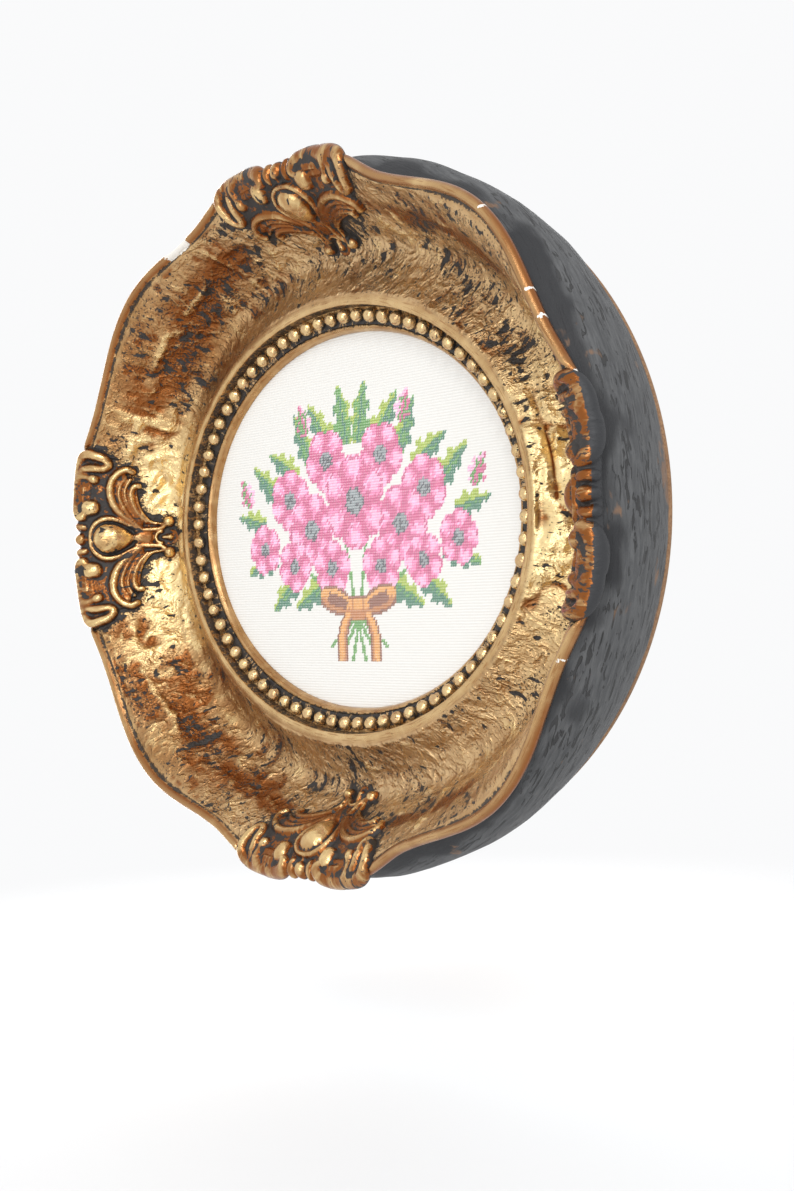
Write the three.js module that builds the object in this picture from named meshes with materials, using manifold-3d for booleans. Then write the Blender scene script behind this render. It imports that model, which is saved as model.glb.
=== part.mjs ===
// Framed needlepoint picture: an oval canvas of wool stitches in a deep scooped gilt frame.
// Millimetres, +Z up. The picture faces -Y and the wall plane is Y = 0, so the depth of a
// point in front of the wall is -Y. The origin is the middle of the backing board's rear face.
//
// Every ring of the frame belongs to one family of ovals: x = (reach + STRETCH) cos(turn) and
// z = reach sin(turn). A reach is measured up and down, and each oval is STRETCH wider sideways.

import * as THREE from 'three';
import { mergeVertices } from 'three/addons/utils/BufferGeometryUtils.js';
import Module from 'manifold-3d';

const wasm = await Module();
wasm.setup();

// Driving dimensions
const STRETCH = 26.2;
const GAP = 0.3;
const BOARD_THICKNESS = 3;
const BACK_REACH = 172.5;
const RIM_DEPTH = 60;
const SIGHT_REACH = 95.5;
const SIGHT_DEPTH = 17;
const LEDGE_DEPTH = 15.5;
const REBATE_REACH = 102;
const CANVAS_THICKNESS = 1.5;
const BEAD_REACH = 105;
const BEAD_COUNT = 72;
const BEAD_RADIUS = 3.6;
const GROOVE_DEPTH = 18.7;
const GROOVE_HALF_WIDTH = 4.9;
const STRIP_THICKNESS = 2.6;
const STRIP_PLAY = 0.4;
const BALL_COVER = 0.1;
const ORNAMENT_RELIEF = 4;
const MEAN_RIM = 180;

// Fineness of the faceted solids
const FRAME_COLUMNS = 96;
const OVAL_STEPS = 48;
const BALL_SEGMENTS = 8;
const BALL_RINGS = 4;
const BOSS_SEGMENTS = 14;
const BOSS_RINGS = 10;
const ARC_STEPS = 3600;
const MERGE_TOLERANCE = 1e-4;

const BACK_DEPTH = BOARD_THICKNESS + GAP;
const GROOVE_INNER = BEAD_REACH - GROOVE_HALF_WIDTH;
const GROOVE_OUTER = BEAD_REACH + GROOVE_HALF_WIDTH;

// Reach of the scalloped rim over one quarter, from the side (0 degrees) to the top (90 degrees)
const RIM_SCALLOPS = [
  { degrees: 0, reach: 177.5 },
  { degrees: 12, reach: 180 },
  { degrees: 26, reach: 174 },
  { degrees: 47, reach: 182.5 },
  { degrees: 67, reach: 173.5 },
  { degrees: 79, reach: 181 },
  { degrees: 90, reach: 178.5 },
];

// Cross-section of the moulding, from the sight edge over the front to the back. Swing is the
// share of the rim's scallop that a point follows, and carries the share of the ornament's relief.
const SECTION = [
  { point: 'sight edge', reach: SIGHT_REACH, depth: SIGHT_DEPTH, swing: 0, carries: 0 },
  { point: 'fillet top', reach: 99.4, depth: 20.8, swing: 0, carries: 0 },
  { point: 'groove inner wall', reach: GROOVE_INNER, depth: 20.8, swing: 0, carries: 0 },
  { point: 'groove inner corner', reach: GROOVE_INNER, depth: GROOVE_DEPTH, swing: 0, carries: 0 },
  { point: 'groove outer corner', reach: GROOVE_OUTER, depth: GROOVE_DEPTH, swing: 0, carries: 0 },
  { point: 'lip inner edge', reach: 110.5, depth: 26, swing: 0, carries: 0 },
  { point: 'lip crest', reach: 113, depth: 27, swing: 0, carries: 0 },
  { point: 'lip outer edge', reach: 116, depth: 26.2, swing: 0, carries: 0 },
  { point: 'inner slope', reach: 124, depth: 20, swing: 0, carries: 0 },
  { point: 'scoop floor', reach: 134, depth: 14.6, swing: 0, carries: 0 },
  { point: 'scoop turn', reach: 141, depth: 14.8, swing: 0, carries: 1 },
  { point: 'wall foot', reach: 146, depth: 19.2, swing: 0, carries: 1 },
  { point: 'wall', reach: 151.5, depth: 27.5, swing: 0, carries: 1 },
  { point: 'crease', reach: 157, depth: 37, swing: 0, carries: 1 },
  { point: 'wall shoulder', reach: 164.5, depth: 49, swing: 0, carries: 1 },
  { point: 'outer band', reach: 169.5, depth: 54, swing: 0.3, carries: 1 },
  { point: 'rim groove', reach: MEAN_RIM - 5, depth: 56.4, swing: 1, carries: 1 },
  { point: 'rim roll inside', reach: MEAN_RIM - 4.2, depth: 58.9, swing: 1, carries: 1 },
  { point: 'rim roll crest', reach: MEAN_RIM - 2.2, depth: RIM_DEPTH, swing: 1, carries: 1 },
  { point: 'rim roll outside', reach: MEAN_RIM - 0.4, depth: 58.6, swing: 1, carries: 0.8 },
  { point: 'rim edge', reach: MEAN_RIM, depth: 56.2, swing: 1, carries: 0.4 },
  { point: 'rim underside', reach: MEAN_RIM - 1.4, depth: 53.6, swing: 1, carries: 0 },
  { point: 'undercut', reach: 175, depth: 48.6, swing: 0.45, carries: 0 },
  { point: 'flank shoulder', reach: 180.4, depth: 42.5, swing: 0.1, carries: 0 },
  { point: 'flank crest', reach: 182.5, depth: 34, swing: 0, carries: 0 },
  { point: 'flank', reach: 180, depth: 19, swing: 0, carries: 0 },
  { point: 'back edge', reach: BACK_REACH, depth: BACK_DEPTH, swing: 0, carries: 0 },
  { point: 'rebate back', reach: REBATE_REACH, depth: BACK_DEPTH, swing: 0, carries: 0 },
  { point: 'rebate corner', reach: REBATE_REACH, depth: LEDGE_DEPTH, swing: 0, carries: 0 },
  { point: 'ledge edge', reach: SIGHT_REACH, depth: LEDGE_DEPTH, swing: 0, carries: 0 },
];

// Half of a centre ornament's outline as seen from the front: across is the distance from its
// middle line and reach the distance from the middle of the picture, less STRETCH sideways.
const ORNAMENT_OUTLINE = [
  { part: 'bottom bead', across: 0, reach: 140.2 },
  { part: 'curl ball', across: 8, reach: 140.6 },
  { part: 'curl ball side', across: 13.6, reach: 143.6 },
  { part: 'stem', across: 10.8, reach: 149 },
  { part: 'lower leaf', across: 22, reach: 153 },
  { part: 'lower leaf tip', across: 32, reach: 154 },
  { part: 'upper leaf tip', across: 41.5, reach: 156.5 },
  { part: 'gap under hook', across: 42.5, reach: 161 },
  { part: 'hook', across: 47.5, reach: 164 },
  { part: 'hook side', across: 48.5, reach: 172 },
  { part: 'scroll end', across: 42, reach: 181 },
  { part: 'scroll back', across: 31, reach: 185 },
  { part: 'scroll top', across: 20, reach: 186.4 },
  { part: 'scroll front', across: 12, reach: 184.4 },
  { part: 'gap by knobs', across: 8.2, reach: 181 },
  { part: 'middle knob', across: 0, reach: 182.4 },
];

const ORNAMENT_PRISM = { nearDepth: 8, farDepth: 72 };
const BOSS = { reach: 162.4, depth: 46, halfWidth: 8.6, halfLength: 10, halfHeight: 7, leanDegrees: 58 };

// The four centre ornaments: which way each one points from the middle of the picture
const ORNAMENT_PLACES = [
  { name: 'cartouche_top', turnDegrees: 0, sideways: 0 },
  { name: 'cartouche_right', turnDegrees: -90, sideways: STRETCH },
  { name: 'cartouche_bottom', turnDegrees: 180, sideways: 0 },
  { name: 'cartouche_left', turnDegrees: 90, sideways: STRETCH },
];

const COLOURS = {
  gilt: new THREE.MeshStandardMaterial({ color: 0xb08446, roughness: 0.42, metalness: 0.85 }),
  giltBeads: new THREE.MeshStandardMaterial({ color: 0xbd9252, roughness: 0.38, metalness: 0.85 }),
  giltOrnament: new THREE.MeshStandardMaterial({ color: 0xc09450, roughness: 0.36, metalness: 0.85 }),
  canvas: new THREE.MeshStandardMaterial({ color: 0xf1ece2, roughness: 0.92, metalness: 0 }),
  board: new THREE.MeshStandardMaterial({ color: 0x9a7350, roughness: 0.85, metalness: 0 }),
};

function radians(degrees) {
  return (degrees * Math.PI) / 180;
}

function ovalPoint(reach, turn, depth) {
  return new THREE.Vector3((reach + STRETCH) * Math.cos(turn), -depth, reach * Math.sin(turn));
}

// Reach of the rim at a turn, eased from one row of the scallop table to the next
function rimReach(turn) {
  const quarter = Math.atan2(Math.abs(Math.sin(turn)), Math.abs(Math.cos(turn)));
  const degrees = (quarter * 180) / Math.PI;
  const next = Math.max(1, RIM_SCALLOPS.findIndex((row) => row.degrees >= degrees));
  const from = RIM_SCALLOPS[next - 1];
  const to = RIM_SCALLOPS[next];
  const share = (degrees - from.degrees) / (to.degrees - from.degrees);
  const eased = 0.5 - 0.5 * Math.cos(Math.PI * Math.min(1, Math.max(0, share)));
  return from.reach + (to.reach - from.reach) * eased;
}

// Outward directions at the corners of a closed section, from its two neighbours
function sectionNormals(points) {
  return points.map((point, i) => {
    const before = points[(i + points.length - 1) % points.length];
    const after = points[(i + 1) % points.length];
    const into = new THREE.Vector2().subVectors(point, before).normalize();
    const out = new THREE.Vector2().subVectors(after, point).normalize();
    const along = into.clone().add(out).normalize();
    const spread = Math.max(0.5, along.dot(out));
    return new THREE.Vector2(-along.y, along.x).divideScalar(spread);
  });
}

// The section at a turn. Relief raises the rows that carry ornament, clearance raises them all.
function mouldingSection(turn, relief, clearance) {
  const swing = rimReach(turn) - MEAN_RIM;
  const points = SECTION.map((row) => new THREE.Vector2(row.reach + row.swing * swing, row.depth));
  const normals = sectionNormals(points);
  return points.map((point, i) => {
    const lift = Math.max(relief * SECTION[i].carries, clearance);
    return point.clone().addScaledVector(normals[i], lift);
  });
}

function evenTurns(columns) {
  return Array.from({ length: columns }, (_, column) => (2 * Math.PI * column) / columns);
}

// A closed ring through one section of (reach, depth) points at each turn. The section's
// points go outwards over the front and back again behind.
function ringGeometry(turns, sectionAt) {
  const positions = [];
  const faces = [];
  let count = 0;
  for (const turn of turns) {
    const section = sectionAt(turn);
    count = section.length;
    for (const point of section) {
      positions.push(...ovalPoint(point.x, turn, point.y).toArray());
    }
  }
  for (let column = 0; column < turns.length; column += 1) {
    const here = column * count;
    const there = ((column + 1) % turns.length) * count;
    for (let i = 0; i < count; i += 1) {
      const j = (i + 1) % count;
      faces.push(here + i, there + j, there + i);
      faces.push(here + i, here + j, there + j);
    }
  }
  const geometry = new THREE.BufferGeometry();
  geometry.setAttribute('position', new THREE.Float32BufferAttribute(positions, 3));
  geometry.setIndex(faces);
  return geometry;
}

// Turns a closed geometry into a solid that can be joined and cut
function toSolid(geometry) {
  const bare = geometry.clone();
  bare.deleteAttribute('normal');
  bare.deleteAttribute('uv');
  const merged = mergeVertices(bare, MERGE_TOLERANCE);
  const mesh = new wasm.Mesh({
    numProp: 3,
    vertProperties: new Float32Array(merged.getAttribute('position').array),
    triVerts: new Uint32Array(merged.index.array),
  });
  return new wasm.Manifold(mesh);
}

// The biggest of a solid's separate bodies, without the slivers that a cut leaves
function largestBody(solid) {
  return solid.decompose().reduce((best, body) => (body.volume() > best.volume() ? body : best));
}

function toGeometry(solid) {
  const mesh = solid.getMesh();
  const geometry = new THREE.BufferGeometry();
  geometry.setAttribute('position', new THREE.Float32BufferAttribute(mesh.vertProperties, 3));
  geometry.setIndex(Array.from(mesh.triVerts));
  return geometry;
}

function finished(geometry) {
  geometry.computeVertexNormals();
  return geometry;
}

// An oval plate lying parallel to the wall, from one depth to a greater one
function ovalPlate(reach, fromDepth, toDepth) {
  const shape = new THREE.Shape();
  shape.absellipse(0, 0, reach + STRETCH, reach, 0, 2 * Math.PI, false, 0);
  const geometry = new THREE.ExtrudeGeometry(shape, {
    depth: toDepth - fromDepth,
    bevelEnabled: false,
    curveSegments: OVAL_STEPS,
  });
  geometry.translate(0, 0, fromDepth);
  geometry.rotateX(Math.PI / 2);
  return geometry;
}

// Turns at equal spacing along the oval of the bead run, starting a share of the pitch past
// the side
function beadTurns(startShare) {
  const lengths = [0];
  for (let i = 1; i <= ARC_STEPS; i += 1) {
    const before = ovalPoint(BEAD_REACH, (2 * Math.PI * (i - 1)) / ARC_STEPS, 0);
    const here = ovalPoint(BEAD_REACH, (2 * Math.PI * i) / ARC_STEPS, 0);
    lengths.push(lengths[i - 1] + here.distanceTo(before));
  }
  const pitch = lengths[ARC_STEPS] / BEAD_COUNT;
  return Array.from({ length: BEAD_COUNT }, (_, bead) => {
    const wanted = (bead + startShare) * pitch;
    const step = lengths.findIndex((length) => length >= wanted);
    return (2 * Math.PI * step) / ARC_STEPS;
  });
}

// The run of beads: one strip in its groove with a row of balls half sunk in it
function beadRun() {
  const inner = GROOVE_INNER + STRIP_PLAY;
  const outer = GROOVE_OUTER - STRIP_PLAY;
  const floor = GROOVE_DEPTH + GAP;
  const top = floor + STRIP_THICKNESS;
  const strip = ringGeometry(beadTurns(0), () => [
    new THREE.Vector2(inner, floor),
    new THREE.Vector2(inner, top),
    new THREE.Vector2(outer, top),
    new THREE.Vector2(outer, floor),
  ]);
  let solid = toSolid(strip);
  for (const turn of beadTurns(0.5)) {
    const ball = new THREE.SphereGeometry(BEAD_RADIUS, BALL_SEGMENTS, BALL_RINGS);
    ball.rotateX(Math.PI / 2);
    const centre = ovalPoint(BEAD_REACH, turn, floor + BALL_COVER + BEAD_RADIUS);
    ball.translate(centre.x, centre.y, centre.z);
    solid = solid.add(toSolid(ball));
  }
  return toGeometry(solid);
}

// The front outline of a centre ornament pushed through the depth of the moulding
function ornamentPrism() {
  const half = ORNAMENT_OUTLINE.map((row) => new THREE.Vector2(row.across, row.reach));
  const mirrored = half.slice(1, -1).reverse().map((point) => new THREE.Vector2(-point.x, point.y));
  const curve = new THREE.CatmullRomCurve3(
    [...half, ...mirrored].map((point) => new THREE.Vector3(point.x, point.y, 0)),
    true,
    'centripetal',
  );
  const outline = curve.getPoints(2 * (half.length + mirrored.length));
  outline.pop();
  const shape = new THREE.Shape(outline.map((point) => new THREE.Vector2(point.x, point.y)));
  const geometry = new THREE.ExtrudeGeometry(shape, {
    depth: ORNAMENT_PRISM.farDepth - ORNAMENT_PRISM.nearDepth,
    bevelEnabled: false,
  });
  geometry.translate(0, 0, ORNAMENT_PRISM.nearDepth);
  geometry.rotateX(Math.PI / 2);
  return geometry;
}

// The smooth boss in the middle of an ornament, leaning with the wall of the scoop
function ornamentBoss() {
  const geometry = new THREE.SphereGeometry(1, BOSS_SEGMENTS, BOSS_RINGS);
  geometry.scale(BOSS.halfWidth, BOSS.halfHeight, BOSS.halfLength);
  geometry.rotateX(radians(BOSS.leanDegrees));
  geometry.translate(0, -BOSS.depth, BOSS.reach);
  return geometry;
}

// A centre ornament: the outline filled to the relief, with its boss, seated on the moulding
function ornament(place, raised, cleared) {
  const stand = (geometry) => {
    geometry.translate(0, 0, place.sideways);
    geometry.rotateY(-radians(place.turnDegrees));
    return toSolid(geometry);
  };
  const slab = stand(ornamentPrism()).intersect(raised);
  return toGeometry(largestBody(slab.add(stand(ornamentBoss())).subtract(cleared)));
}

function piece(name, geometry, material) {
  const mesh = new THREE.Mesh(finished(geometry), material);
  mesh.name = name;
  return mesh;
}

const picture = new THREE.Group();

const frameBody = ringGeometry(evenTurns(FRAME_COLUMNS), (turn) => mouldingSection(turn, 0, 0));
picture.add(piece('frame_body', frameBody, COLOURS.gilt));

picture.add(piece('bead_run', beadRun(), COLOURS.giltBeads));

const raisedMoulding = toSolid(
  ringGeometry(evenTurns(FRAME_COLUMNS), (turn) => mouldingSection(turn, ORNAMENT_RELIEF, GAP)),
);
const clearedMoulding = toSolid(
  ringGeometry(evenTurns(FRAME_COLUMNS), (turn) => mouldingSection(turn, 0, GAP)),
);
for (const place of ORNAMENT_PLACES) {
  const geometry = ornament(place, raisedMoulding, clearedMoulding);
  picture.add(piece(place.name, geometry, COLOURS.giltOrnament));
}

const canvasFront = LEDGE_DEPTH - GAP;
const canvas = ovalPlate(REBATE_REACH - GAP, canvasFront - CANVAS_THICKNESS, canvasFront);
picture.add(piece('needlework', canvas, COLOURS.canvas));

const board = ovalPlate(BACK_REACH, 0, BOARD_THICKNESS);
picture.add(piece('backing_board', board, COLOURS.board));

export default picture;
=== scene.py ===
# %% [markdown]
# # A stitched oval in a scooped gilt frame
# This lesson dresses the measured model of a framed needlepoint picture. The real frame is a
# wooden oval with a face of cast composition, painted slate black at the side and gilded in
# front, with four leaf ornaments, a run of beads and a stitched canvas behind it.
# Every shape is worked out from a few sizes and short tables, in millimetres, and every finish
# is made of nodes, so that it holds from any side.

# %% Load the measured frame
import math

import bpy
import numpy as np
from mathutils import Matrix


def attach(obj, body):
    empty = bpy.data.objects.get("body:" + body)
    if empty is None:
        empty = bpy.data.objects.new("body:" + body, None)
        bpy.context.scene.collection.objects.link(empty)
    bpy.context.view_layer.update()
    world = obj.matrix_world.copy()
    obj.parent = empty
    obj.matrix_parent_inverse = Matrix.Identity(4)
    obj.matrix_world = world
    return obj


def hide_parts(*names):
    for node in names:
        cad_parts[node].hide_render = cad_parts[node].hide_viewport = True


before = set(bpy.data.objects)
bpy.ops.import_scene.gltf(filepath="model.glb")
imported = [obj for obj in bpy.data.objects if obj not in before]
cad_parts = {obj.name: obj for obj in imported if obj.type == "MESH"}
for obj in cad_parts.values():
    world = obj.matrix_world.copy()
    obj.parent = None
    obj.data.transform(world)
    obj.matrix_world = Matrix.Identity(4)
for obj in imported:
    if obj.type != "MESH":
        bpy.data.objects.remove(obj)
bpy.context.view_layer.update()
MM = 0.001
TAU = 2 * math.pi
print("nodes:", sorted(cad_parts))

# %% [markdown]
# ## The camera
# The picture was seen from the right, level with its middle, through a 50 mm lens. The place
# and the turn of the camera below came from fitting the bead run, the rim and the board's edge.
# A camera looks along its own -Z axis, so the three directions are the columns of its matrix.

# %% Camera
CAMERA_PLACE = (667.63, -577.43, -38.48)
CAMERA_RIGHT = (0.661576, 0.749049, -0.035248)
CAMERA_UP = (0.022365, 0.027275, 0.999378)
CAMERA_BACK = (0.749545, -0.661953, 0.001292)
LENS = 50.587

camera_data = bpy.data.cameras.new("camera")
camera_data.lens = LENS
camera_data.sensor_width = 36
camera_data.clip_start = 0.05
camera = bpy.data.objects.new("camera", camera_data)
turned = Matrix((CAMERA_RIGHT, CAMERA_UP, CAMERA_BACK)).transposed().to_4x4()
turned.translation = [value * MM for value in CAMERA_PLACE]
camera.matrix_world = turned
bpy.context.scene.collection.objects.link(camera)
bpy.context.scene.camera = camera
print("camera at", [round(value, 3) for value in turned.translation])

# %% [markdown]
# ## Shader maths as Python
# A material is a net of nodes, but its sums read best as sums. `Wire` wraps one output socket
# and turns + - * into Math nodes. `Finish` owns one material: its `node` method adds any
# other node, with its settings first and then its sockets.


# %% A wire
class Wire:
    """One output socket. Sums with numbers or other wires add Math nodes."""

    def __init__(self, finish, socket):
        self.finish = finish
        self.socket = socket

    def math(self, operation, a, b):
        return self.finish.node("Math", {"operation": operation}, {0: a, 1: b})

    def __add__(self, other):
        return self.math("ADD", self, other)

    def __radd__(self, other):
        return self.math("ADD", other, self)

    def __sub__(self, other):
        return self.math("SUBTRACT", self, other)

    def __rsub__(self, other):
        return self.math("SUBTRACT", other, self)

    def __mul__(self, other):
        return self.math("MULTIPLY", self, other)

    def __rmul__(self, other):
        return self.math("MULTIPLY", other, self)

    def most(self, other):
        return self.math("MAXIMUM", self, other)

    def least(self, other):
        return self.math("MINIMUM", self, other)

    def step(self, low, high):
        """0 below low, 1 above high and a soft rise between them."""
        sockets = {"Value": self, "From Min": low, "From Max": high, "To Min": 0.0, "To Max": 1.0}
        return self.finish.node("MapRange", {"interpolation_type": "SMOOTHSTEP"}, sockets)


# %% A finish
class Finish:
    """One material, made of nodes around a Principled shader."""

    def __init__(self, name):
        self.material = bpy.data.materials.new(name)
        self.material.use_nodes = True
        self.tree = self.material.node_tree
        self.shader = self.tree.nodes["Principled BSDF"]

    def node(self, kind, settings=None, sockets=None, out=0):
        made = self.tree.nodes.new("ShaderNode" + kind)
        for key, value in (settings or {}).items():
            setattr(made, key, value)
        for key, value in (sockets or {}).items():
            if isinstance(value, Wire):
                self.tree.links.new(value.socket, made.inputs[key])
            else:
                made.inputs[key].default_value = value
        return Wire(self, made.outputs[out])

    def attribute(self, name, out="Fac"):
        return self.node("Attribute", {"attribute_name": name}, out=out)

    def place(self, scale=(1.0, 1.0, 1.0)):
        """Object coordinates in millimetres, stretched by scale."""
        where = self.node("TexCoord", out="Object")
        return self.stretched(where, tuple(value / MM for value in scale))

    def stretched(self, where, scale):
        """A place with each direction multiplied by its own number."""
        return self.node("VectorMath", {"operation": "MULTIPLY"}, {0: where, 1: scale})

    def slant(self, where, share):
        """A shift up the moulding by a share of the way round it, which slants a pattern."""
        apart = self.node("SeparateXYZ", {}, {"Vector": where})
        return self.node("CombineXYZ", {}, {"Z": apart * share})

    def noise(self, where, scale, detail=2.0, roughness=0.5, distortion=0.0):
        sockets = {
            "Vector": where,
            "Scale": scale,
            "Detail": detail,
            "Roughness": roughness,
            "Distortion": distortion,
        }
        return self.node("TexNoise", {}, sockets)

    def blend(self, share, first, second):
        """The first colour where share is 0, the second where it is 1."""
        first = first if isinstance(first, Wire) else (*first, 1.0)
        second = second if isinstance(second, Wire) else (*second, 1.0)
        return self.node("Mix", {"data_type": "RGBA"}, {0: share, 6: first, 7: second}, 2)

    def bump(self, height, distance, strength=1.0):
        """A normal from heights of 0 to 1, where 1 stands distance mm high."""
        sockets = {"Height": height, "Distance": distance * MM, "Strength": strength}
        return self.node("Bump", {}, sockets)

    def wear(self, **sockets):
        """Sets the shader's own sockets, by links or by plain values."""
        for name, value in sockets.items():
            socket = self.shader.inputs[name.replace("_", " ").title()]
            if isinstance(value, Wire):
                self.tree.links.new(value.socket, socket)
            elif isinstance(value, tuple):
                socket.default_value = (*value, 1.0)
            else:
                socket.default_value = value
        return self.material


def seen(red, green, blue):
    """A colour as the eye reads it, 0 to 255, turned into the linear numbers of a shader."""
    shares = [value / 255 for value in (red, green, blue)]
    return tuple(s / 12.92 if s < 0.04045 else ((s + 0.055) / 1.055) ** 2.4 for s in shares)


# %% [markdown]
# ## Ovals, and the scalloped rim
# Every ring of the frame is one of a family of ovals that share their middle. A reach is half
# the height of an oval, and each oval is `STRETCH` wider sideways. The rim swings in and out
# eight times, and the table gives its reach over one quarter, eased from row to row.

# %% Ovals
STRETCH = 26.2
MEAN_RIM = 180.0
RIM_SCALLOPS = np.array(
    [(0, 177.5), (12, 180), (26, 174), (47, 182.5), (67, 173.5), (79, 181), (90, 178.5)], float
)


def oval(reach, turn, depth):
    """Points in millimetres: reach from the middle, depth in front of the back plane."""
    parts = ((reach + STRETCH) * np.cos(turn), -depth, reach * np.sin(turn))
    return np.stack(np.broadcast_arrays(*parts), axis=-1)


def quarter_degrees(turn):
    """Degrees up from the nearer end of the long axis: 0 at left and right, 90 at top and bottom."""
    return np.degrees(np.arctan2(np.abs(np.sin(turn)), np.abs(np.cos(turn))))


def rim_swing(turn):
    """How far the scalloped rim lies outside its mean reach, at each turn."""
    quarter = quarter_degrees(turn)
    angles, reaches = RIM_SCALLOPS.T
    row = np.clip(np.searchsorted(angles, quarter), 1, len(angles) - 1)
    share = np.clip((quarter - angles[row - 1]) / (angles[row] - angles[row - 1]), 0, 1)
    eased = 0.5 - 0.5 * np.cos(math.pi * share)
    return reaches[row - 1] + (reaches[row] - reaches[row - 1]) * eased - MEAN_RIM


def run_round(reach, turns):
    """Distances in mm along the oval of a reach, from the first of the turns to each."""
    speed = np.hypot((reach + STRETCH) * np.sin(turns), reach * np.cos(turns))
    return np.concatenate([[0], np.cumsum((speed[1:] + speed[:-1]) / 2 * np.diff(turns))])


def turns_along(reach, centre, distances):
    """Turns at given distances in mm along the oval of a reach, from a centre turn."""
    fine = centre + np.linspace(-0.8, 0.8, 1601)
    run = run_round(reach, fine)
    return np.interp(distances, run - np.interp(centre, fine, run), fine)


swings = rim_swing(np.linspace(0, TAU, 721))
print(f"the rim swings from {swings.min():.1f} to {swings.max():.1f} mm about its mean")


# %% Soft edges and random lumps
def soft_step(values, low, high):
    """0 below low, 1 above high and a soft rise between them."""
    share = np.clip((np.asarray(values, float) - low) / (high - low), 0, 1)
    return share * share * (3 - 2 * share)


def between(values, low, full, falls, gone):
    """Rises from 0 at low to 1 at full, stays, and falls from 1 at falls to 0 at gone."""
    return soft_step(values, low, full) * (1 - soft_step(values, falls, gone))


def hump(values, middle, width):
    """A bell: 1 at the middle and 0.6 one width to either side of it."""
    return np.exp(-0.5 * ((values - middle) / width) ** 2)


LATTICE_ROWS, LATTICE_START = 260, -90  # the start is in mm across


def lumps(turn, across, count, spacing, seed):
    """Smooth random heights from -1 to 1, count of them round the oval, spacing mm across."""
    lattice = np.random.default_rng(seed).uniform(-1, 1, (count, LATTICE_ROWS))
    around = (turn / TAU % 1) * count
    over = (across - LATTICE_START) / spacing
    i = np.floor(around).astype(int)
    j = np.clip(np.floor(over).astype(int), 0, LATTICE_ROWS - 2)
    f, g = around - i, np.clip(over - j, 0, 1)
    f, g = f * f * (3 - 2 * f), g * g * (3 - 2 * g)
    i, k = i % count, (i + 1) % count
    low = lattice[i, j] * (1 - f) + lattice[k, j] * f
    high = lattice[i, j + 1] * (1 - f) + lattice[k, j + 1] * f
    return low * (1 - g) + high * g


# %% [markdown]
# ## The profile of the moulding
# A moulding is one profile swept round. The table holds the points a maker would mark on the
# drawing, and a smooth curve is drawn through them. A `corner` keeps its sharp edge, `step` is
# how fine the face is cut there in mm, and `swing` is the share of the scallop that a point
# follows. Numbers in a table are easier to set right than the handles of a curve object.

# %% Profile of the face
FACE = [  # name, reach, depth, swing, corner, step
    ("sight back", 97.4, 15.35, 0, 1, 1.4),
    ("sight edge", 97.5, 16.6, 0, 1, 1.0),
    ("fillet slope", 98.2, 18.6, 0, 0, 1.0),
    ("fillet top", 99.4, 20.0, 0, 0, 0.7),
    ("fillet edge", 100.3, 19.9, 0, 1, 0.7),
    ("channel inner foot", 100.5, 17.9, 0, 1, 2.4),
    ("channel outer foot", 109.4, 17.9, 0, 1, 2.0),
    ("lip wall", 109.7, 24.6, 0, 0, 1.0),
    ("lip inner edge", 110.1, 27.2, 0, 1, 0.7),
    ("lip crest", 111.8, 27.7, 0, 0, 0.7),
    ("lip flat", 113.8, 27.4, 0, 0, 0.7),
    ("lip outer edge", 115.6, 26.8, 0, 0, 0.8),
    ("lip line", 117.2, 25.5, 0, 0, 1.1),
    ("slope", 120.6, 22.9, 0, 0, 1.3),
    ("slope middle", 124.0, 20.0, 0, 0, 1.3),
    ("slope foot", 129.0, 16.9, 0, 0, 1.3),
    ("scoop", 134.0, 14.9, 0, 0, 1.3),
    ("scoop floor", 138.0, 14.3, 0, 0, 1.3),
    ("ornament foot", 140.0, 14.6, 0, 0, 1.2),
    ("scoop turn", 142.5, 15.8, 0, 0, 1.2),
    ("wall foot", 144.5, 17.3, 0, 0, 1.2),
    ("wall low", 148.0, 21.9, 0, 0, 1.2),
    ("wall", 151.5, 27.5, 0, 0, 1.2),
    ("crease", 157.0, 37.0, 0, 0, 1.2),
    ("wall high", 160.6, 43.0, 0, 0, 1.2),
    ("wall shoulder", 164.5, 48.9, 0, 0, 1.2),
    ("band", 169.4, 54.0, 0.3, 0, 1.2),
    ("band top", 172.8, 56.3, 0.7, 0, 0.9),
    ("rim groove", 174.6, 56.5, 1, 1, 0.7),
    ("roll foot", 175.1, 57.7, 1, 0, 0.7),
    ("roll inside", 175.9, 59.2, 1, 0, 0.7),
    ("roll crest", 177.8, 60.2, 1, 0, 0.7),
    ("roll outside", 179.5, 58.9, 1, 0, 0.7),
    ("rim edge", 180.1, 56.4, 1, 0, 0.9),
    ("rim under", 178.6, 53.4, 1, 1, 2.5),
]


# %% A smooth curve through the table
def smooth_run(points, step):
    """A curve through points by centripetal splines, cut at about the step of each span."""
    ends = [2 * points[0] - points[1], *points, 2 * points[-1] - points[-2]]
    cut = []
    for row in range(len(points) - 1):
        p0, p1, p2, p3 = ends[row : row + 4]
        knots = [0.0]
        for a, b in ((p0, p1), (p1, p2), (p2, p3)):
            knots.append(knots[-1] + max(1e-6, np.linalg.norm(b[:2] - a[:2])) ** 0.5)
        k0, k1, k2, k3 = knots
        pieces = max(1, round(np.linalg.norm(p2[:2] - p1[:2]) / step[row]))
        for k in k1 + (k2 - k1) * np.arange(pieces) / pieces:
            a1 = p0 + (p1 - p0) * (k - k0) / (k1 - k0)
            a2 = p1 + (p2 - p1) * (k - k1) / (k2 - k1)
            a3 = p2 + (p3 - p2) * (k - k2) / (k3 - k2)
            b1 = a1 + (a2 - a1) * (k - k0) / (k2 - k0)
            b2 = a2 + (a3 - a2) * (k - k1) / (k3 - k1)
            cut.append(b1 + (b2 - b1) * (k - k1) / (k2 - k1))
    return cut


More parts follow.
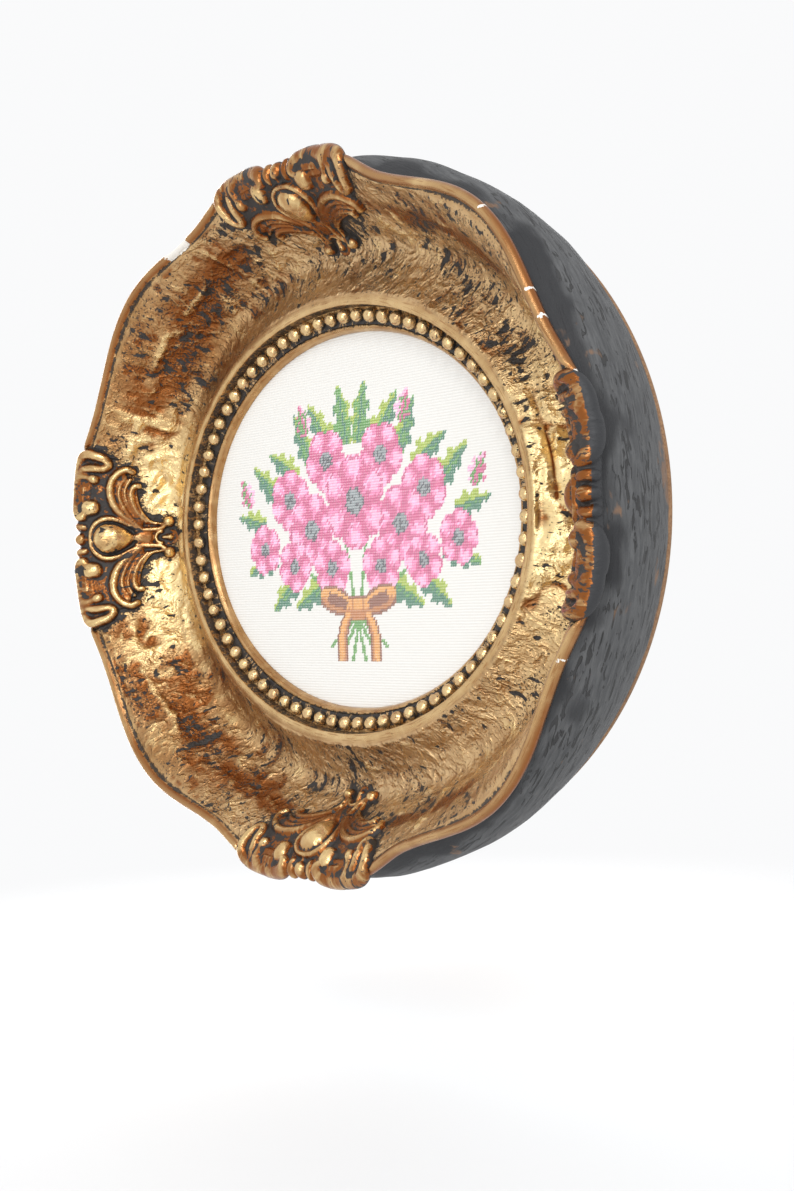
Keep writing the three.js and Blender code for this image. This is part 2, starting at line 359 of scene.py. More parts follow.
def smooth_profile(rows):
    """The table as (reach, depth, swing) rows of a curve that keeps the corners sharp."""
    points = [np.array(row[1:4], float) for row in rows]
    corners = [i for i, row in enumerate(rows) if row[4] or i in (0, len(rows) - 1)]
    curve = []
    for first, last in zip(corners[:-1], corners[1:]):
        curve += smooth_run(points[first : last + 1], [row[5] for row in rows[first : last + 1]])
    return np.array([*curve, points[-1]])


class Profile:
    """A cut profile with its run in mm from the scoop floor, and its outward directions."""

    def __init__(self, rows, start):
        self.reach, self.depth, self.swing = smooth_profile(rows).T
        steps = np.hypot(np.diff(self.reach), np.diff(self.depth))
        run = np.concatenate([[0], np.cumsum(steps)])
        marks = {
            name: np.hypot(self.reach - reach, self.depth - depth).argmin()
            for name, reach, depth, *_ in rows
        }
        self.run = run - run[marks[start]]
        self.at = {name: self.run[i] for name, i in marks.items()}
        out = np.stack([-np.gradient(self.depth, run), np.gradient(self.reach, run)], 1)
        out /= np.linalg.norm(out, axis=1)[:, None]
        self.out_reach, self.out_depth = out.T

    def points(self, turn, lift, run=None):
        """Points for turns (columns) at runs (rows), lifted off the face by lift in mm."""
        rows = [self.reach, self.depth, self.swing, self.out_reach, self.out_depth]
        if run is not None:
            rows = [np.interp(run, self.run, values) for values in rows]
        reach, depth, swing, out_reach, out_depth = rows
        reach = reach + swing * rim_swing(turn)[:, None] + out_reach * lift
        return oval(reach, turn[:, None], depth + out_depth * lift)


face = Profile(FACE, "ornament foot")
print(f"face profile: {len(face.run)} rows, {face.run[-1] - face.run[0]:.0f} mm from sight to rim")

# %% [markdown]
# ## Drawing an ornament
# Each of the four leaf ornaments was pressed from one mould: a smooth boss in a ring, leaves,
# scrolls that roll over the rim, and two curled stems. It is drawn here as a relief: each
# stroke is a rounded ridge along a curve, with half widths and heights along it, and where
# ridges meet the higher one shows. Only one half is drawn, and the other is its mirror.

# %% Strokes of the ornament
# name: (points from the middle line and up from the scoop floor), half widths, heights, power
STROKES = {
    "ground low": ([(0, 3), (0, 16), (0, 30)], [5, 8, 12], [0.5], 8),
    "ground middle": ([(0, 40), (0, 52), (0, 61)], [14, 16, 15], [0.7], 8),
    "ground leaf": ([(12, 30), (22, 37), (34, 38)], [7, 8, 7], [0.7], 8),
    "ground scroll": ([(16, 47), (30, 47), (40, 50)], [8, 8, 8], [0.8], 8),
    "ground rim": ([(12, 60), (26, 61), (40, 60)], [9, 9, 7], [0.8], 8),
    "boss": (
        [(0, 41), (0, 38), (0, 34.6), (0, 31.4), (0, 28.6), (0, 26)],
        [9.0, 8.7, 7.2, 5.2, 3.5, 2.5],
        [8.0, 7.7, 6.4, 4.9, 3.7, 3.0],
        2,
    ),
    "neck": (
        [(0, 26), (0, 23.4), (0, 20.6), (0, 18.8)],
        [2.1, 2.6, 4.2, 5.4],
        [3.0, 2.9, 2.8, 2.6],
        3,
    ),
    "ring": (
        [(0, 51), (4.6, 50.2), (8.4, 47.6), (10.6, 44), (11.3, 40), (10.7, 36), (9.2, 32), (7.4, 28.4),
         (6.0, 25), (5.0, 21.5)],
        [2.1, 2.1, 2.1, 2.1, 2.1, 2.0, 1.8, 1.6, 1.5, 1.4],
        [3.8, 3.8, 3.8, 3.7, 3.6, 3.5, 3.3, 3.0, 2.8, 2.6],
        2,
    ),
    "upper leaf": (
        [(7, 22), (14, 28.6), (22, 33.6), (30, 35.6), (35, 33.6)], [2, 4, 5, 4.6, 3], [2.0], 3
    ),
    "upper ridge": (
        [(5.4, 21.5), (9.6, 27.6), (14.8, 34), (20.6, 38.2), (27, 40.2), (33, 39.6), (37.6, 36.4),
         (39.9, 32), (38.9, 28)],
        [1.8, 2.6, 3.0, 3.0, 2.8, 2.6, 2.5, 2.4, 2.3],
        [2.6, 3.2, 3.6, 3.8, 3.9, 3.9, 3.7, 3.5, 3.2],
        2,
    ),
    "upper rib": (
        [(7, 21.5), (12, 27.4), (18, 32), (24, 34.8), (29.6, 34.8), (33.4, 32.4)],
        [1.2, 1.6, 1.8, 1.8, 1.6, 1.2],
        [2.4, 2.9, 3.1, 3.1, 2.8, 2.2],
        2,
    ),
    "lower rib": (
        [(8.6, 20.8), (14.2, 25.8), (20.4, 29.6), (26, 31.6), (30.6, 31), (34.4, 29)],
        [1.0, 1.4, 1.7, 1.7, 1.6, 1.4],
        [2.2, 2.6, 2.8, 2.8, 2.6, 2.2],
        2,
    ),
    "lower leaf": ([(9, 16), (15, 22), (22, 25.4), (28, 26)], [1.6, 2.3, 2.5, 2.0], [1.4], 3),
    "lower ridge": (
        [(9.4, 18.2), (14.8, 23.4), (21, 26.8), (26.6, 28), (30.6, 26.4), (30.8, 23.6)],
        [1.4, 2.0, 2.3, 2.3, 2.1, 2.1],
        [2.4, 3.0, 3.2, 3.2, 3.0, 2.8],
        2,
    ),
    "lower edge": (
        [(8.4, 12.6), (10.6, 17.2), (15, 21), (20.4, 23.6), (26, 24.8)],
        [1.1, 1.3, 1.3, 1.2, 0.8],
        [2.2, 2.5, 2.5, 2.3, 1.6],
        2,
    ),
    "stem": (
        [(4, 24.5), (4.9, 19.5), (4.9, 14.5), (5.8, 9.4), (8.6, 6)],
        [1.3, 1.6, 1.7, 1.7, 1.9],
        [2.6, 2.8, 3, 3, 3],
        2,
    ),
    "outer stem": ([(9.4, 16), (8.8, 12), (8.4, 8.4)], [0.9, 1.0, 1.2], [2.2, 2.4, 2.6], 2),
    "curl ball": ([(9.9, 5.0), (9.9, 4.6)], [3.9], [4.4], 2),
    "collar": ([(3.8, 9.2), (2.6, 11.8), (0, 12.9)], [1.3], [3.0], 2),
    "drop": ([(0, 8.4), (0, 5.8), (0, 3.4)], [1.0, 1.6, 2.2], [2.2, 2.8, 3.3], 2),
    "scroll dish": ([(19, 61), (29, 60)], [6.5, 6.0], [2.2], 5),
    "scroll ball": ([(16.9, 52.4), (17.2, 49.6)], [4.9, 4.5], [5.6, 5.2], 2),
    "scroll": (
        [(15.0, 54.2), (12.6, 57.4), (12.2, 61.4), (14.4, 65.4), (19, 68.2), (25, 68.6), (30, 66.4),
         (33.2, 61.8), (33.6, 56.6), (33, 51.6)],
        [2.8, 2.9, 3.3, 3.7, 3.9, 3.8, 3.5, 2.9, 2.4, 2.1],
        [4.4, 4.6, 5.0, 5.2, 5.2, 5.0, 4.6, 4.2, 3.8, 3.4],
        2,
    ),
    "small curl": ([(32.8, 50.6), (32.6, 49.6)], [3.0], [4.2], 2),
    "hook": (
        [(30, 67.6), (37, 67.2), (42.6, 64.6), (45.2, 59.4), (45.6, 52.6), (44.6, 46), (41.8, 42.4),
         (39.4, 44.6), (38.6, 50), (37.6, 56.6), (35.6, 62)],
        [3.4, 3.4, 3.2, 3.1, 3.0, 2.8, 2.6, 2.6, 2.7, 2.7, 2.7],
        [4.8, 4.7, 4.6, 4.4, 4.2, 4.0, 3.9, 3.9, 3.9, 3.9, 3.6],
        2,
    ),
    "rung high": ([(18.6, 63.2), (26.8, 62.4)], [1.2], [3.4], 2),
    "rung middle": ([(18.8, 60.2), (27.4, 59.4)], [1.2], [3.4], 2),
    "rung low": ([(20.4, 57.2), (27.6, 56.4)], [1.2], [3.4], 2),
    "rim bar": (
        [(6.2, 54.6), (6.6, 59), (6.8, 63.6), (6.4, 67.4)],
        [1.6, 2.3, 2.8, 2.6],
        [2.4, 3.4, 4.1, 3.8],
        2,
    ),
    "pin": ([(0, 54), (0, 58)], [1.3], [2.4], 2),
    "knob": ([(0, 62.4), (0, 63)], [3.5], [4.8], 2),
    "outer knob": ([(0, 67.6), (0, 68)], [2.6], [3.4], 2),
}

# %% From strokes to heights
ROLL_OVER, ROLL_SHARE = 54.0, 0.52  # past this run the strokes are drawn in, over the rim
GRID = 0.46
HALF_ACROSS, LOW, HIGH = 52.0, -8.0, 72.0
SPAN_CUTS = 24
STROKE_SPACING = 0.25


def curve_through(points, spacing):
    """Evenly spaced points on a smooth curve through the given ones, and their shares."""
    points = np.array(points, float)
    if len(points) == 2:
        curve, share = points, np.array([0.0, 1.0])
    else:
        ends = np.vstack([2 * points[0] - points[1], points, 2 * points[-1] - points[-2]])
        k = np.linspace(0, 1, SPAN_CUTS, endpoint=False)[:, None]
        spans = []
        for p0, p1, p2, p3 in zip(ends[:-3], ends[1:-2], ends[2:-1], ends[3:]):
            spans.append(
                0.5 * (2 * p1 + (p2 - p0) * k + (2 * p0 - 5 * p1 + 4 * p2 - p3) * k**2
                       + (3 * p1 - p0 - 3 * p2 + p3) * k**3)
            )
        curve = np.vstack([*spans, points[-1:]])
        share = np.linspace(0, 1, len(curve))
    length = np.concatenate([[0], np.cumsum(np.hypot(*np.diff(curve, axis=0).T))])
    even = np.linspace(0, length[-1], max(2, int(length[-1] / spacing) + 2))
    place = np.stack([np.interp(even, length, column) for column in curve.T], 1)
    return place, np.interp(even, length, share)


def blurred(values, width):
    """A soft copy of a grid: width is in cells."""
    reach = int(3 * width) + 1
    weights = hump(np.arange(-reach, reach + 1), 0, width)
    weights /= weights.sum()
    for axis in (0, 1):
        padded = np.pad(values, [(reach, reach) if a == axis else (0, 0) for a in (0, 1)], "edge")
        values = np.apply_along_axis(np.convolve, axis, padded, weights, "valid")
    return values


def ornament_relief():
    """The heights of the whole ornament on a grid, with -1 where there is none."""
    across = np.arange(-HALF_ACROSS, HALF_ACROSS + GRID / 2, GRID)
    up = np.arange(LOW, HIGH + GRID / 2, GRID)
    height = np.full((len(across), len(up)), -1.0)
    for points, widths, heights, power in STROKES.values():
        drawn_in = [(s, min(v, ROLL_OVER) + max(v - ROLL_OVER, 0) * ROLL_SHARE) for s, v in points]
        place, share = curve_through(drawn_in, STROKE_SPACING)
        half, peak = (np.interp(share, np.linspace(0, 1, len(row)), row) for row in (widths, heights))
        for (s, v), w, p in zip(place, half, peak):
            for side in (1, -1):
                i0, i1 = np.searchsorted(across, [side * s - w, side * s + w])
                j0, j1 = np.searchsorted(up, [v - w, v + w])
                gap = np.hypot(across[i0:i1, None] - side * s, up[None, j0:j1] - v) / w
                ridge = p * np.maximum(0, 1 - gap**power) ** (1 / power)
                ridge = np.where(gap < 1, ridge, -1.0)
                height[i0:i1, j0:j1] = np.maximum(height[i0:i1, j0:j1], ridge)
    return across, up, height


CAST_SOFTNESS = 0.9  # in cells
NEAR_BLUR, NEAR_GAIN = 3.2, 2.2
across, up, sharp_height = ornament_relief()
footprint = (sharp_height > 0).astype(float)
relief = blurred(sharp_height, CAST_SOFTNESS)
near_ornament = np.clip(blurred(footprint, NEAR_BLUR / GRID) * NEAR_GAIN, 0, 1)
print(f"relief: {relief.shape} cells, highest {relief.max():.1f} mm")

# %% [markdown]
# ## Meshes from grids
# Each cast or turned part is a grid of points: columns round the oval and rows across the
# profile. One helper turns points and faces into a piece, with numbers on its points that its
# finish reads, such as how hollow and how worn a point is, and where shade or a highlight is
# painted. One of them is `along`, a place in millimetres that follows the moulding, so that
# patterns run round it without a seam.


# %% Pieces and their numbers
def make_piece(name, points, faces, material, numbers=None, smooth=40):
    """A piece from points in mm and faces, with numbers on its points and sharp edges kept."""
    mesh = bpy.data.meshes.new(name)
    mesh.from_pydata((np.asarray(points).reshape(-1, 3) * MM).tolist(), [], np.asarray(faces).tolist())
    for key, values in (numbers or {}).items():
        values = np.asarray(values, np.float32)
        kind, field_name = ("FLOAT_VECTOR", "vector") if values.ndim == 2 else ("FLOAT", "value")
        mesh.attributes.new(key, kind, "POINT").data.foreach_set(field_name, values.ravel())
    mesh.shade_smooth()
    mesh.set_sharp_from_angle(angle=math.radians(smooth))
    mesh.materials.append(material)
    piece = bpy.data.objects.new(name, mesh)
    bpy.context.scene.collection.objects.link(piece)
    triangles = sum(len(polygon.vertices) - 2 for polygon in mesh.polygons)
    print(f"{name}: {len(mesh.vertices)} points, {triangles} triangles")
    return piece


def ring_faces(columns, rows):
    """Quads of a ring that closes round the oval and round its section."""
    c, i = np.meshgrid(np.arange(columns), np.arange(rows), indexing="ij")
    d, j = (c + 1) % columns, (i + 1) % rows
    return np.stack([c * rows + i, c * rows + j, d * rows + j, d * rows + i], -1).reshape(-1, 4)


def closed_faces(quads, total):
    """Faces of a sheet with two skins: points of the second skin come total after the first.

    An edge of the sheet is an edge that only one quad has, and a wall closes each.
    """
    edges = np.concatenate([quads[:, [a, (a + 1) % 4]] for a in range(4)])
    keys = {tuple(edge) for edge in edges.tolist()}
    rim = np.array(sorted(edge for edge in keys if edge[::-1] not in keys))
    walls = np.stack([rim[:, 1], rim[:, 0], rim[:, 0] + total, rim[:, 1] + total], -1)
    return np.concatenate([quads, quads[:, ::-1] + total, walls])


ROUND = 150.0  # radius in mm of the circle that stands for the oval in patterns


def along_moulding(turn, run):
    """A place for patterns in mm: round the oval on a circle, and up by the run."""
    around = ROUND * np.stack([np.cos(turn), np.sin(turn)], -1)
    shape = np.broadcast_shapes(turn.shape, run.shape)
    parts = [np.broadcast_to(around[..., 0], shape), np.broadcast_to(around[..., 1], shape)]
    return np.stack([*parts, np.broadcast_to(run, shape)], -1)


# %% [markdown]
# ## Gilding
# The gold is bronze paint over dark ground colour, rubbed back by hand: bright on what stands
# proud, brown glaze on the slopes, and grey-black wax left in the pits. One recipe does it all.
# Noises from broad clouds to fine grain break up each layer, and numbers on the points say where
# it gathers. The layers go on in the order of the real ones, so each blend covers the last. Some
# numbers paint light as well: a bright reflection in the glow zone, and shade in the wax and the
# glaze of some places.

# %% Colours and patterns of the gilding
GOLD = seen(176, 134, 84)
PALE_GOLD = seen(208, 171, 120)
ASH_GOLD = seen(214, 182, 140)
BRIGHT_GOLD = seen(248, 220, 160)
# GLOW_GOLD is painted reflection: the near white gold of the glow beside the left and right ornaments.
GLOW_GOLD = seen(250, 222, 164)
BROWN_GLAZE = seen(143, 86, 42)
WAX = seen(43, 38, 35)
SIDE_BLACK = seen(41, 42, 45)
PLASTER = seen(238, 234, 226)
WEAR_AND_LIGHT = ("wax_and_shade", "worn_and_sheen", "glaze", "sleek", "line", "chip", "painted", "glow_zone", "pale")


def gilding_patterns(finish, along):
    """The noises of the gilding: clouds, blots, specks, grain, folds and brushed hairs."""
    tone = finish.noise(along, 0.05, 3.0, 0.6)
    cluster = finish.noise(along, 0.035, 2.0, 0.5)
    drift = finish.noise(finish.stretched(along, (1.0, 1.0, 0.5)), 0.15, 2.0, 0.6)
    blobs = finish.noise(finish.stretched(along, (1.0, 1.0, 0.55)), 0.27, 3.0, 0.5, 0.4)
    specks = finish.noise(along, 0.85, 2.0, 0.55, 0.3)
    fine = finish.noise(finish.place(), 2.4, 2.0, 0.6)
    ridged = {"noise_type": "RIDGED_MULTIFRACTAL"}
    sockets = {
        "Vector": finish.stretched(along, (1.0, 1.0, 0.7)),
        "Scale": 0.13,
        "Detail": 2.5,
        "Roughness": 0.55,
        "Lacunarity": 2.2,
        "Offset": 0.9,
        "Gain": 1.7,
        "Distortion": 0.8,
    }
    creases = finish.node("TexNoise", ridged, sockets)
    finer = {**sockets, "Scale": 0.42, "Detail": 1.0, "Distortion": 0.5}
    wrinkles = finish.node("TexNoise", ridged, finer)
    hairs = finish.noise(finish.stretched(along, (0.07, 0.07, 1.0)), 1.3, 2.0, 0.6)
    return tone, cluster, drift, blobs, specks, fine, creases, wrinkles, hairs


# %% The gilding, layer by layer
def gilding(name, wax=0.0, glaze=0.0, grain=1.0):
    """Rubbed bronze paint. More wax, more brown glaze and a coarser grain are asked for by number."""
    finish = Finish(name)
    along = finish.attribute("along", "Vector")
    wax_and_shade, worn_and_sheen, glaze_and_shade, sleek, lined, chipped, painted, glow_zone, pale = map(finish.attribute, WEAR_AND_LIGHT)
    patterns = gilding_patterns(finish, along)
    tone, cluster, drift, blobs, specks, fine, creases, wrinkles, hairs = patterns
    rough = 1.0 - sleek

    crowd = cluster.step(0.35, 0.65)
    blob_limit = 0.675 - wax - crowd * 0.10 - wax_and_shade * 0.28
    blob_limit = blob_limit + worn_and_sheen * 0.08 + sleek * 0.3 + glow_zone * 0.03
    speck_limit = 0.665 - wax - crowd * 0.11 - wax_and_shade * 0.22
    speck_limit = speck_limit + worn_and_sheen * 0.1 + sleek * 0.16 + glow_zone * 0.08
    blob = (blobs - blob_limit).step(0.0, 0.035)
    speck = (specks - speck_limit).step(0.0, 0.06)
    line = (lined + (blobs - 0.5) * 1.8 + (specks - 0.5) * 1.6 - 0.48).step(0.0, 0.4)
    dark = blob.most(speck * 0.9).most(line * 0.95)

    gold = finish.blend(tone.step(0.38, 0.66), GOLD, PALE_GOLD)
    gold = finish.blend(pale * (0.3 + drift * 0.8) * (1.0 - sleek * 0.55), gold, ASH_GOLD)
    # Painted reflection: in glow_zone the gold turns to the near white GLOW_GOLD.
    gold = finish.blend((glow_zone * 1.25 + (drift - 0.5) * 0.8).most(0.0).least(1.0), gold, GLOW_GOLD)
    # Brown glaze, and painted shade where glaze_and_shade carries it.
    brown = glaze_and_shade * 1.1 + glaze + drift * 0.55 + sleek * 0.2 - worn_and_sheen * 0.7 - pale * 0.16 - 0.10
    gold = finish.blend(brown.step(0.15, 0.8), gold, BROWN_GLAZE)
    # Bright gold: rubbed wear, and the painted highlights that worn_and_sheen carries.
    rubbed = worn_and_sheen * 0.8 + ((creases - 1.0) * 0.5 + (wrinkles - 1.0) * 0.25) * rough - dark * 0.5
    gold = finish.blend(rubbed.most(0.0).least(0.8), gold, BRIGHT_GOLD)
    gold = finish.blend((hairs - 0.54).step(0.0, 0.12) * sleek * 0.55, gold, BROWN_GLAZE)

    colour = finish.blend(dark, gold, WAX)
    black = (painted + (blobs - 0.5) * 0.8 + (specks - 0.5) * 0.5 - 0.5).step(0.0, 0.12)
    colour = finish.blend(black, colour, SIDE_BLACK)
    bare = (chipped + (blobs - 0.5) * 1.2 + (specks - 0.5) * 0.9 - 0.5).step(0.0, 0.06)
    colour = finish.blend(bare, colour, PLASTER)

    grainy = (wrinkles * 0.24 + blobs * 0.3 + specks * 0.2) * (1.0 - glow_zone * 0.75)
    height = (creases * (0.5 - glow_zone * 0.1) + grainy) * rough
    height = height + fine * 0.08 - dark * 0.3 + hairs * sleek * 0.06
    covered = dark.most(black)
    return finish.wear(
        base_color=colour,
        metallic=(0.9 - covered * 0.88) * (1.0 - bare),
        roughness=0.21 + drift * 0.16 + covered * 0.25 - worn_and_sheen * 0.06 + bare * 0.4,
        normal=finish.bump(height, 1.15 * grain),
    )


# %% [markdown]
# ## The face of the moulding
# The plain profile is only the start. The cast face is lumpy, with a raised vein along the
# crease, folds that fan out beside the ornaments, and pits. Displacing it with a texture would
# lose the places where these belong, so they are sums on the points: lifts off the profile in
# real geometry, and the same sums tell the finish where it is hollow and where it is worn.

# %% Folds of the face
CENTRES = [0.0, math.pi / 2, math.pi, -math.pi / 2]
MM_PER_DEGREE = 2.9
FOLDS = [  # from (degrees, run) to (degrees, run), height, half width; mirrored in each quarter
    ((7.3, 21.0), (14.6, 7.0), 1.3, 1.7),
    ((10.5, 24.0), (13.0, 17.0), 0.9, 1.5),
    ((16.0, 31.0), (15.2, 14.0), -0.9, 1.0),
    ((17.6, 19.0), (19.6, 4.0), 1.0, 1.6),
    ((20.5, 30.0), (24.0, 6.0), 0.8, 2.2),
    ((26.0, 42.0), (25.0, 12.0), 1.2, 2.0),
    ((25.0, 12.0), (28.0, -8.0), 0.8, 2.2),
    ((31.0, 20.0), (35.0, -6.0), 0.7, 2.0),
    ((38.0, 18.0), (44.0, -10.0), 0.6, 2.4),
    ((52.0, 18.0), (47.0, -9.0), 0.6, 2.2),
    ((59.0, 20.0), (55.0, -6.0), 0.7, 2.0),
    ((66.0, 42.0), (66.5, 12.0), 1.2, 2.0),
    ((66.5, 12.0), (63.0, -8.0), 0.8, 2.0),
    ((71.0, 24.0), (70.0, 6.0), 0.8, 1.8),
    ((75.5, 20.0), (72.0, 4.0), 0.9, 1.7),
]


def fold_lift(turn, run):
    """Lift of the folds: a soft ridge or furrow along each line of the table."""
    place = np.broadcast_arrays(quarter_degrees(turn) * MM_PER_DEGREE, run)
    place = np.stack(place, -1)
    lift = np.zeros(place.shape[:-1])
    for (d0, r0), (d1, r1), height, half in FOLDS:
        a, b = np.array([d0 * MM_PER_DEGREE, r0]), np.array([d1 * MM_PER_DEGREE, r1])
        share = np.clip(((place - a) @ (b - a)) / ((b - a) @ (b - a)), 0, 1)
        gap = np.linalg.norm(place - (a + share[..., None] * (b - a)), axis=-1)
        lift += height * hump(gap, 0, half) * (1 - 0.5 * share)
    return lift


# %% Where an ornament lies on the face
ORNAMENT_REACH = 155


def ornament_share(turn, run, values):
    """Samples a grid of the ornament at places on the moulding, near any of the four."""
    total = np.zeros(np.broadcast_shapes(turn.shape, run.shape))
    marks = np.linspace(-HALF_ACROSS, HALF_ACROSS, 209)
    for centre in CENTRES:
        aside = (turn - centre + math.pi) % TAU - math.pi
        s = np.interp(aside, turns_along(ORNAMENT_REACH, centre, marks) - centre, marks, -99, 99)
        column = np.clip((s + HALF_ACROSS) / GRID, 0, values.shape[0] - 1.001)
        row = np.clip((run - LOW) / GRID, 0, values.shape[1] - 1.001)
        sampled = values[np.round(column).astype(int), np.round(row).astype(int)]
        inside = (np.abs(s) < HALF_ACROSS) & (run > LOW) & (run < HIGH)
        total = np.maximum(total, np.where(inside, sampled, 0))
    return total


# %% [markdown]
# ### Zones and lifts
# A point of the face has two places: its turn round the oval, `t`, and its run across the
# profile, `v`. Each zone is a number from 0 to 1 on every point, so zones can be multiplied.
# `field` is the cast scoop, `near` is close to an ornament, `calm` is the field without the
# ornaments, `glow_zone` lies beside the left and right ones, where the folds are draped and a
# bright reflection is painted into the gold, and `beside` is where the folds fan out. Sums of
# lumps, weighed by these, give the lift in millimetres.

# %% Zones of the face
FACE_COLUMNS = 708
turn = TAU * np.arange(FACE_COLUMNS) / FACE_COLUMNS
t, v = turn[:, None], face.run[None, :]
degrees = np.degrees(t)
near = ornament_share(t, v, near_ornament)
lip_end = face.at["lip outer edge"] - 1.2 - 1.6 * np.cos(t)
field = between(v, lip_end, lip_end + 2.8, face.at["band top"] - 3, face.at["rim groove"])
calm = field * (1 - 0.9 * near)
# glow_zone: the draped folds beside the left and right ornaments, where the gilding paints a bright
# reflection.
glow_zone = hump(quarter_degrees(t), 0, 17) * (1 - soft_step(v, 32, 42)) * field * (1 - near)
from_sides = np.abs((t / math.pi + 0.5) % 1 - 0.5) * math.pi * ORNAMENT_REACH
beside = hump(from_sides, 30, 22) * (1 - soft_step(v, 14, 26))
print(f"bright foil on {glow_zone.mean():.0%} of the face, ornaments near {near.mean():.0%}")

# %% Lumps, veins and pleats
VEIN_RUN, VALLEY_RUN = 32.5, 25.5
wobble = lumps(t, v, 26, 400, 5) * 2.4 + lumps(t, v, 70, 400, 6) * 1.2
broken = np.clip(0.35 + 1.5 * lumps(t, v, 44, 9, 7), 0, 1.2)
vein = hump(v - VEIN_RUN, 1.6 * wobble, 1.7) * broken
valley = hump(v - VALLEY_RUN, wobble, 3.6)
folds = fold_lift(t, v)
crumple = 1 - 2.2 * np.abs(lumps(t, v, 210, 7.5, 11)) + 0.5 * lumps(t, v, 330, 3.4, 12)
rough = 0.5 * lumps(t, v, 66, 13, 13) + 0.42 * crumple
bulge = np.abs(lumps(t + v * 0.004, v, 42, 13.0, 25))
pleat = np.abs(lumps(t - v * 0.006, v, 70, 9.0, 26))
drape = 2.0 * np.minimum(bulge, 0.5) + 0.6 * (1 - 2.4 * pleat) - 0.6
crease = 1 - soft_step(bulge, 0.02, 0.16)
print(f"lumps from {rough.min():.1f} to {rough.max():.1f} mm, folds up to {folds.max():.1f} mm")

# %% Lift of the face
BED_DROP, CHIP_DEPTH = 2.8, 0.7
draped = (2.4 + 0.5 * np.cos(t)) * drape * glow_zone
lift = calm * (rough * (1 - 0.8 * glow_zone) + draped + folds * (1 + 0.4 * beside))
lift += calm * (vein - 0.7 * valley)
lift += 0.06 * lumps(t, v, 150, 9, 14)
bed_zone = ornament_share(t, v, np.ones_like(relief)) * soft_step(v, 54, 57)
lift -= BED_DROP * soft_step(near, 0.25, 0.9) * soft_step(v, 55, 58) * bed_zone
large_chip = between(degrees, 112.6, 115.6, 119.0, 122.0)
large_chip = large_chip * soft_step(v, face.at["rim groove"] - 0.8, face.at["rim groove"] + 1.2)
lift -= CHIP_DEPTH * soft_step(large_chip, 0.35, 0.65)
print(f"face lifted by {lift.min():.1f} to {lift.max():.1f} mm")

# %% [markdown]
# ### Wear of the face, and its painted light
# The finish can't know by itself where the mould was deep or where a duster rubbed. So these
# numbers tell it, layer by layer: where dark wax sits, where the gold is bright, where brown
# glaze pooled, and where the surface is smooth, pale, outlined or chipped down to plaster. Some
# of them paint light: a highlight on the tops of the folds beside the left and right ornaments,
# shade in their creases, and partly shade in the brown along the valley.

# %% Hollow and worn places of the face, with a painted highlight on the folds
groove = hump(v, face.at["rim groove"], 1.0)
channel = between(
    v,
    face.at["fillet edge"] - 0.2,
    face.at["fillet edge"] + 0.6,
    face.at["lip inner edge"] - 0.5,
    face.at["lip inner edge"] + 0.1,
)
dips = 0.6 * calm * np.clip(-rough - 0.05, 0, 1)
marks = hump(v - (VALLEY_RUN + 2), wobble, 4.0) * np.clip(3 * lumps(t, v, 90, 6, 17) - 1.4, 0, 1)
speckled = 0.12 * calm * hump(v, 17, 7) * (1 - glow_zone)
wax_and_shade = np.maximum(np.maximum(0.3 * groove, 0.3 * channel), np.maximum(0.8 * near, dips))
wax_and_shade = np.clip(np.maximum(wax_and_shade, 0.45 * calm * marks * (1 - glow_zone)) + speckled, 0, 1)
proud = calm * np.clip(1.3 * (rough + 0.7 * folds + vein - 0.35), 0, 1)
rolls = hump(v, face.at["roll crest"], 1.6) + hump(v, face.at["lip crest"], 1.5)
# The last term is a painted highlight on the tops of the draped folds of glow_zone.
worn_and_sheen = proud * (0.75 + 0.5 * beside) + 0.3 * rolls + 0.5 * glow_zone * np.clip(drape, 0, 1)
worn_and_sheen = np.clip(worn_and_sheen, 0, 1)

# %% Brown glaze and painted shade on the face
STAINS = [(138, 20, 0.42), (214, 20, 0.46), (60, 16, 0.15)]  # degrees, width, share
# stain_and_shade: brown along the valley, which is partly real glaze and partly painted shade in the
# valley, and brown bands at the turns of STAINS.
stain_and_shade = hump(v - VALLEY_RUN, wobble, 9.0) * np.clip(0.5 + 1.3 * lumps(t, v, 48, 13, 20), 0, 1)
for place, wide, share in STAINS:
    stain_and_shade = stain_and_shade + share * hump(degrees, place, wide) * field
lip_line = hump(v, face.at["lip line"], 0.9)
glaze = calm * (0.2 * valley + 0.7 * stain_and_shade) * (1 - 0.7 * beside) + 0.15 * lip_line * (1 - near)
roll_brown = soft_step(v, face.at["rim groove"], 58) * (0.42 + 0.3 * lumps(t, v, 30, 300, 19))
glaze = np.clip(glaze + 0.3 * calm * (rough < -0.3) + roll_brown, 0, 1) * (1 - 0.8 * glow_zone)
# Painted shade: brown in the creases and hollows of the draped folds of glow_zone, strongest on the
# right-hand side and weakest on the left.
east_fold_shade = 1 + 0.6 * np.cos(t)
glaze = glaze + glow_zone * east_fold_shade * (0.42 * crease + 0.35 * np.clip(-drape, 0, 1))
rim_patch = 0.7 * between(degrees, 56, 62, 68, 76) * soft_step(v, 57, 59)
glaze = np.maximum(np.clip(glaze, 0, 1), rim_patch)
print(f"hollow {wax_and_shade.mean():.2f}, worn {worn_and_sheen.mean():.2f}, glaze {glaze.mean():.2f} on average")

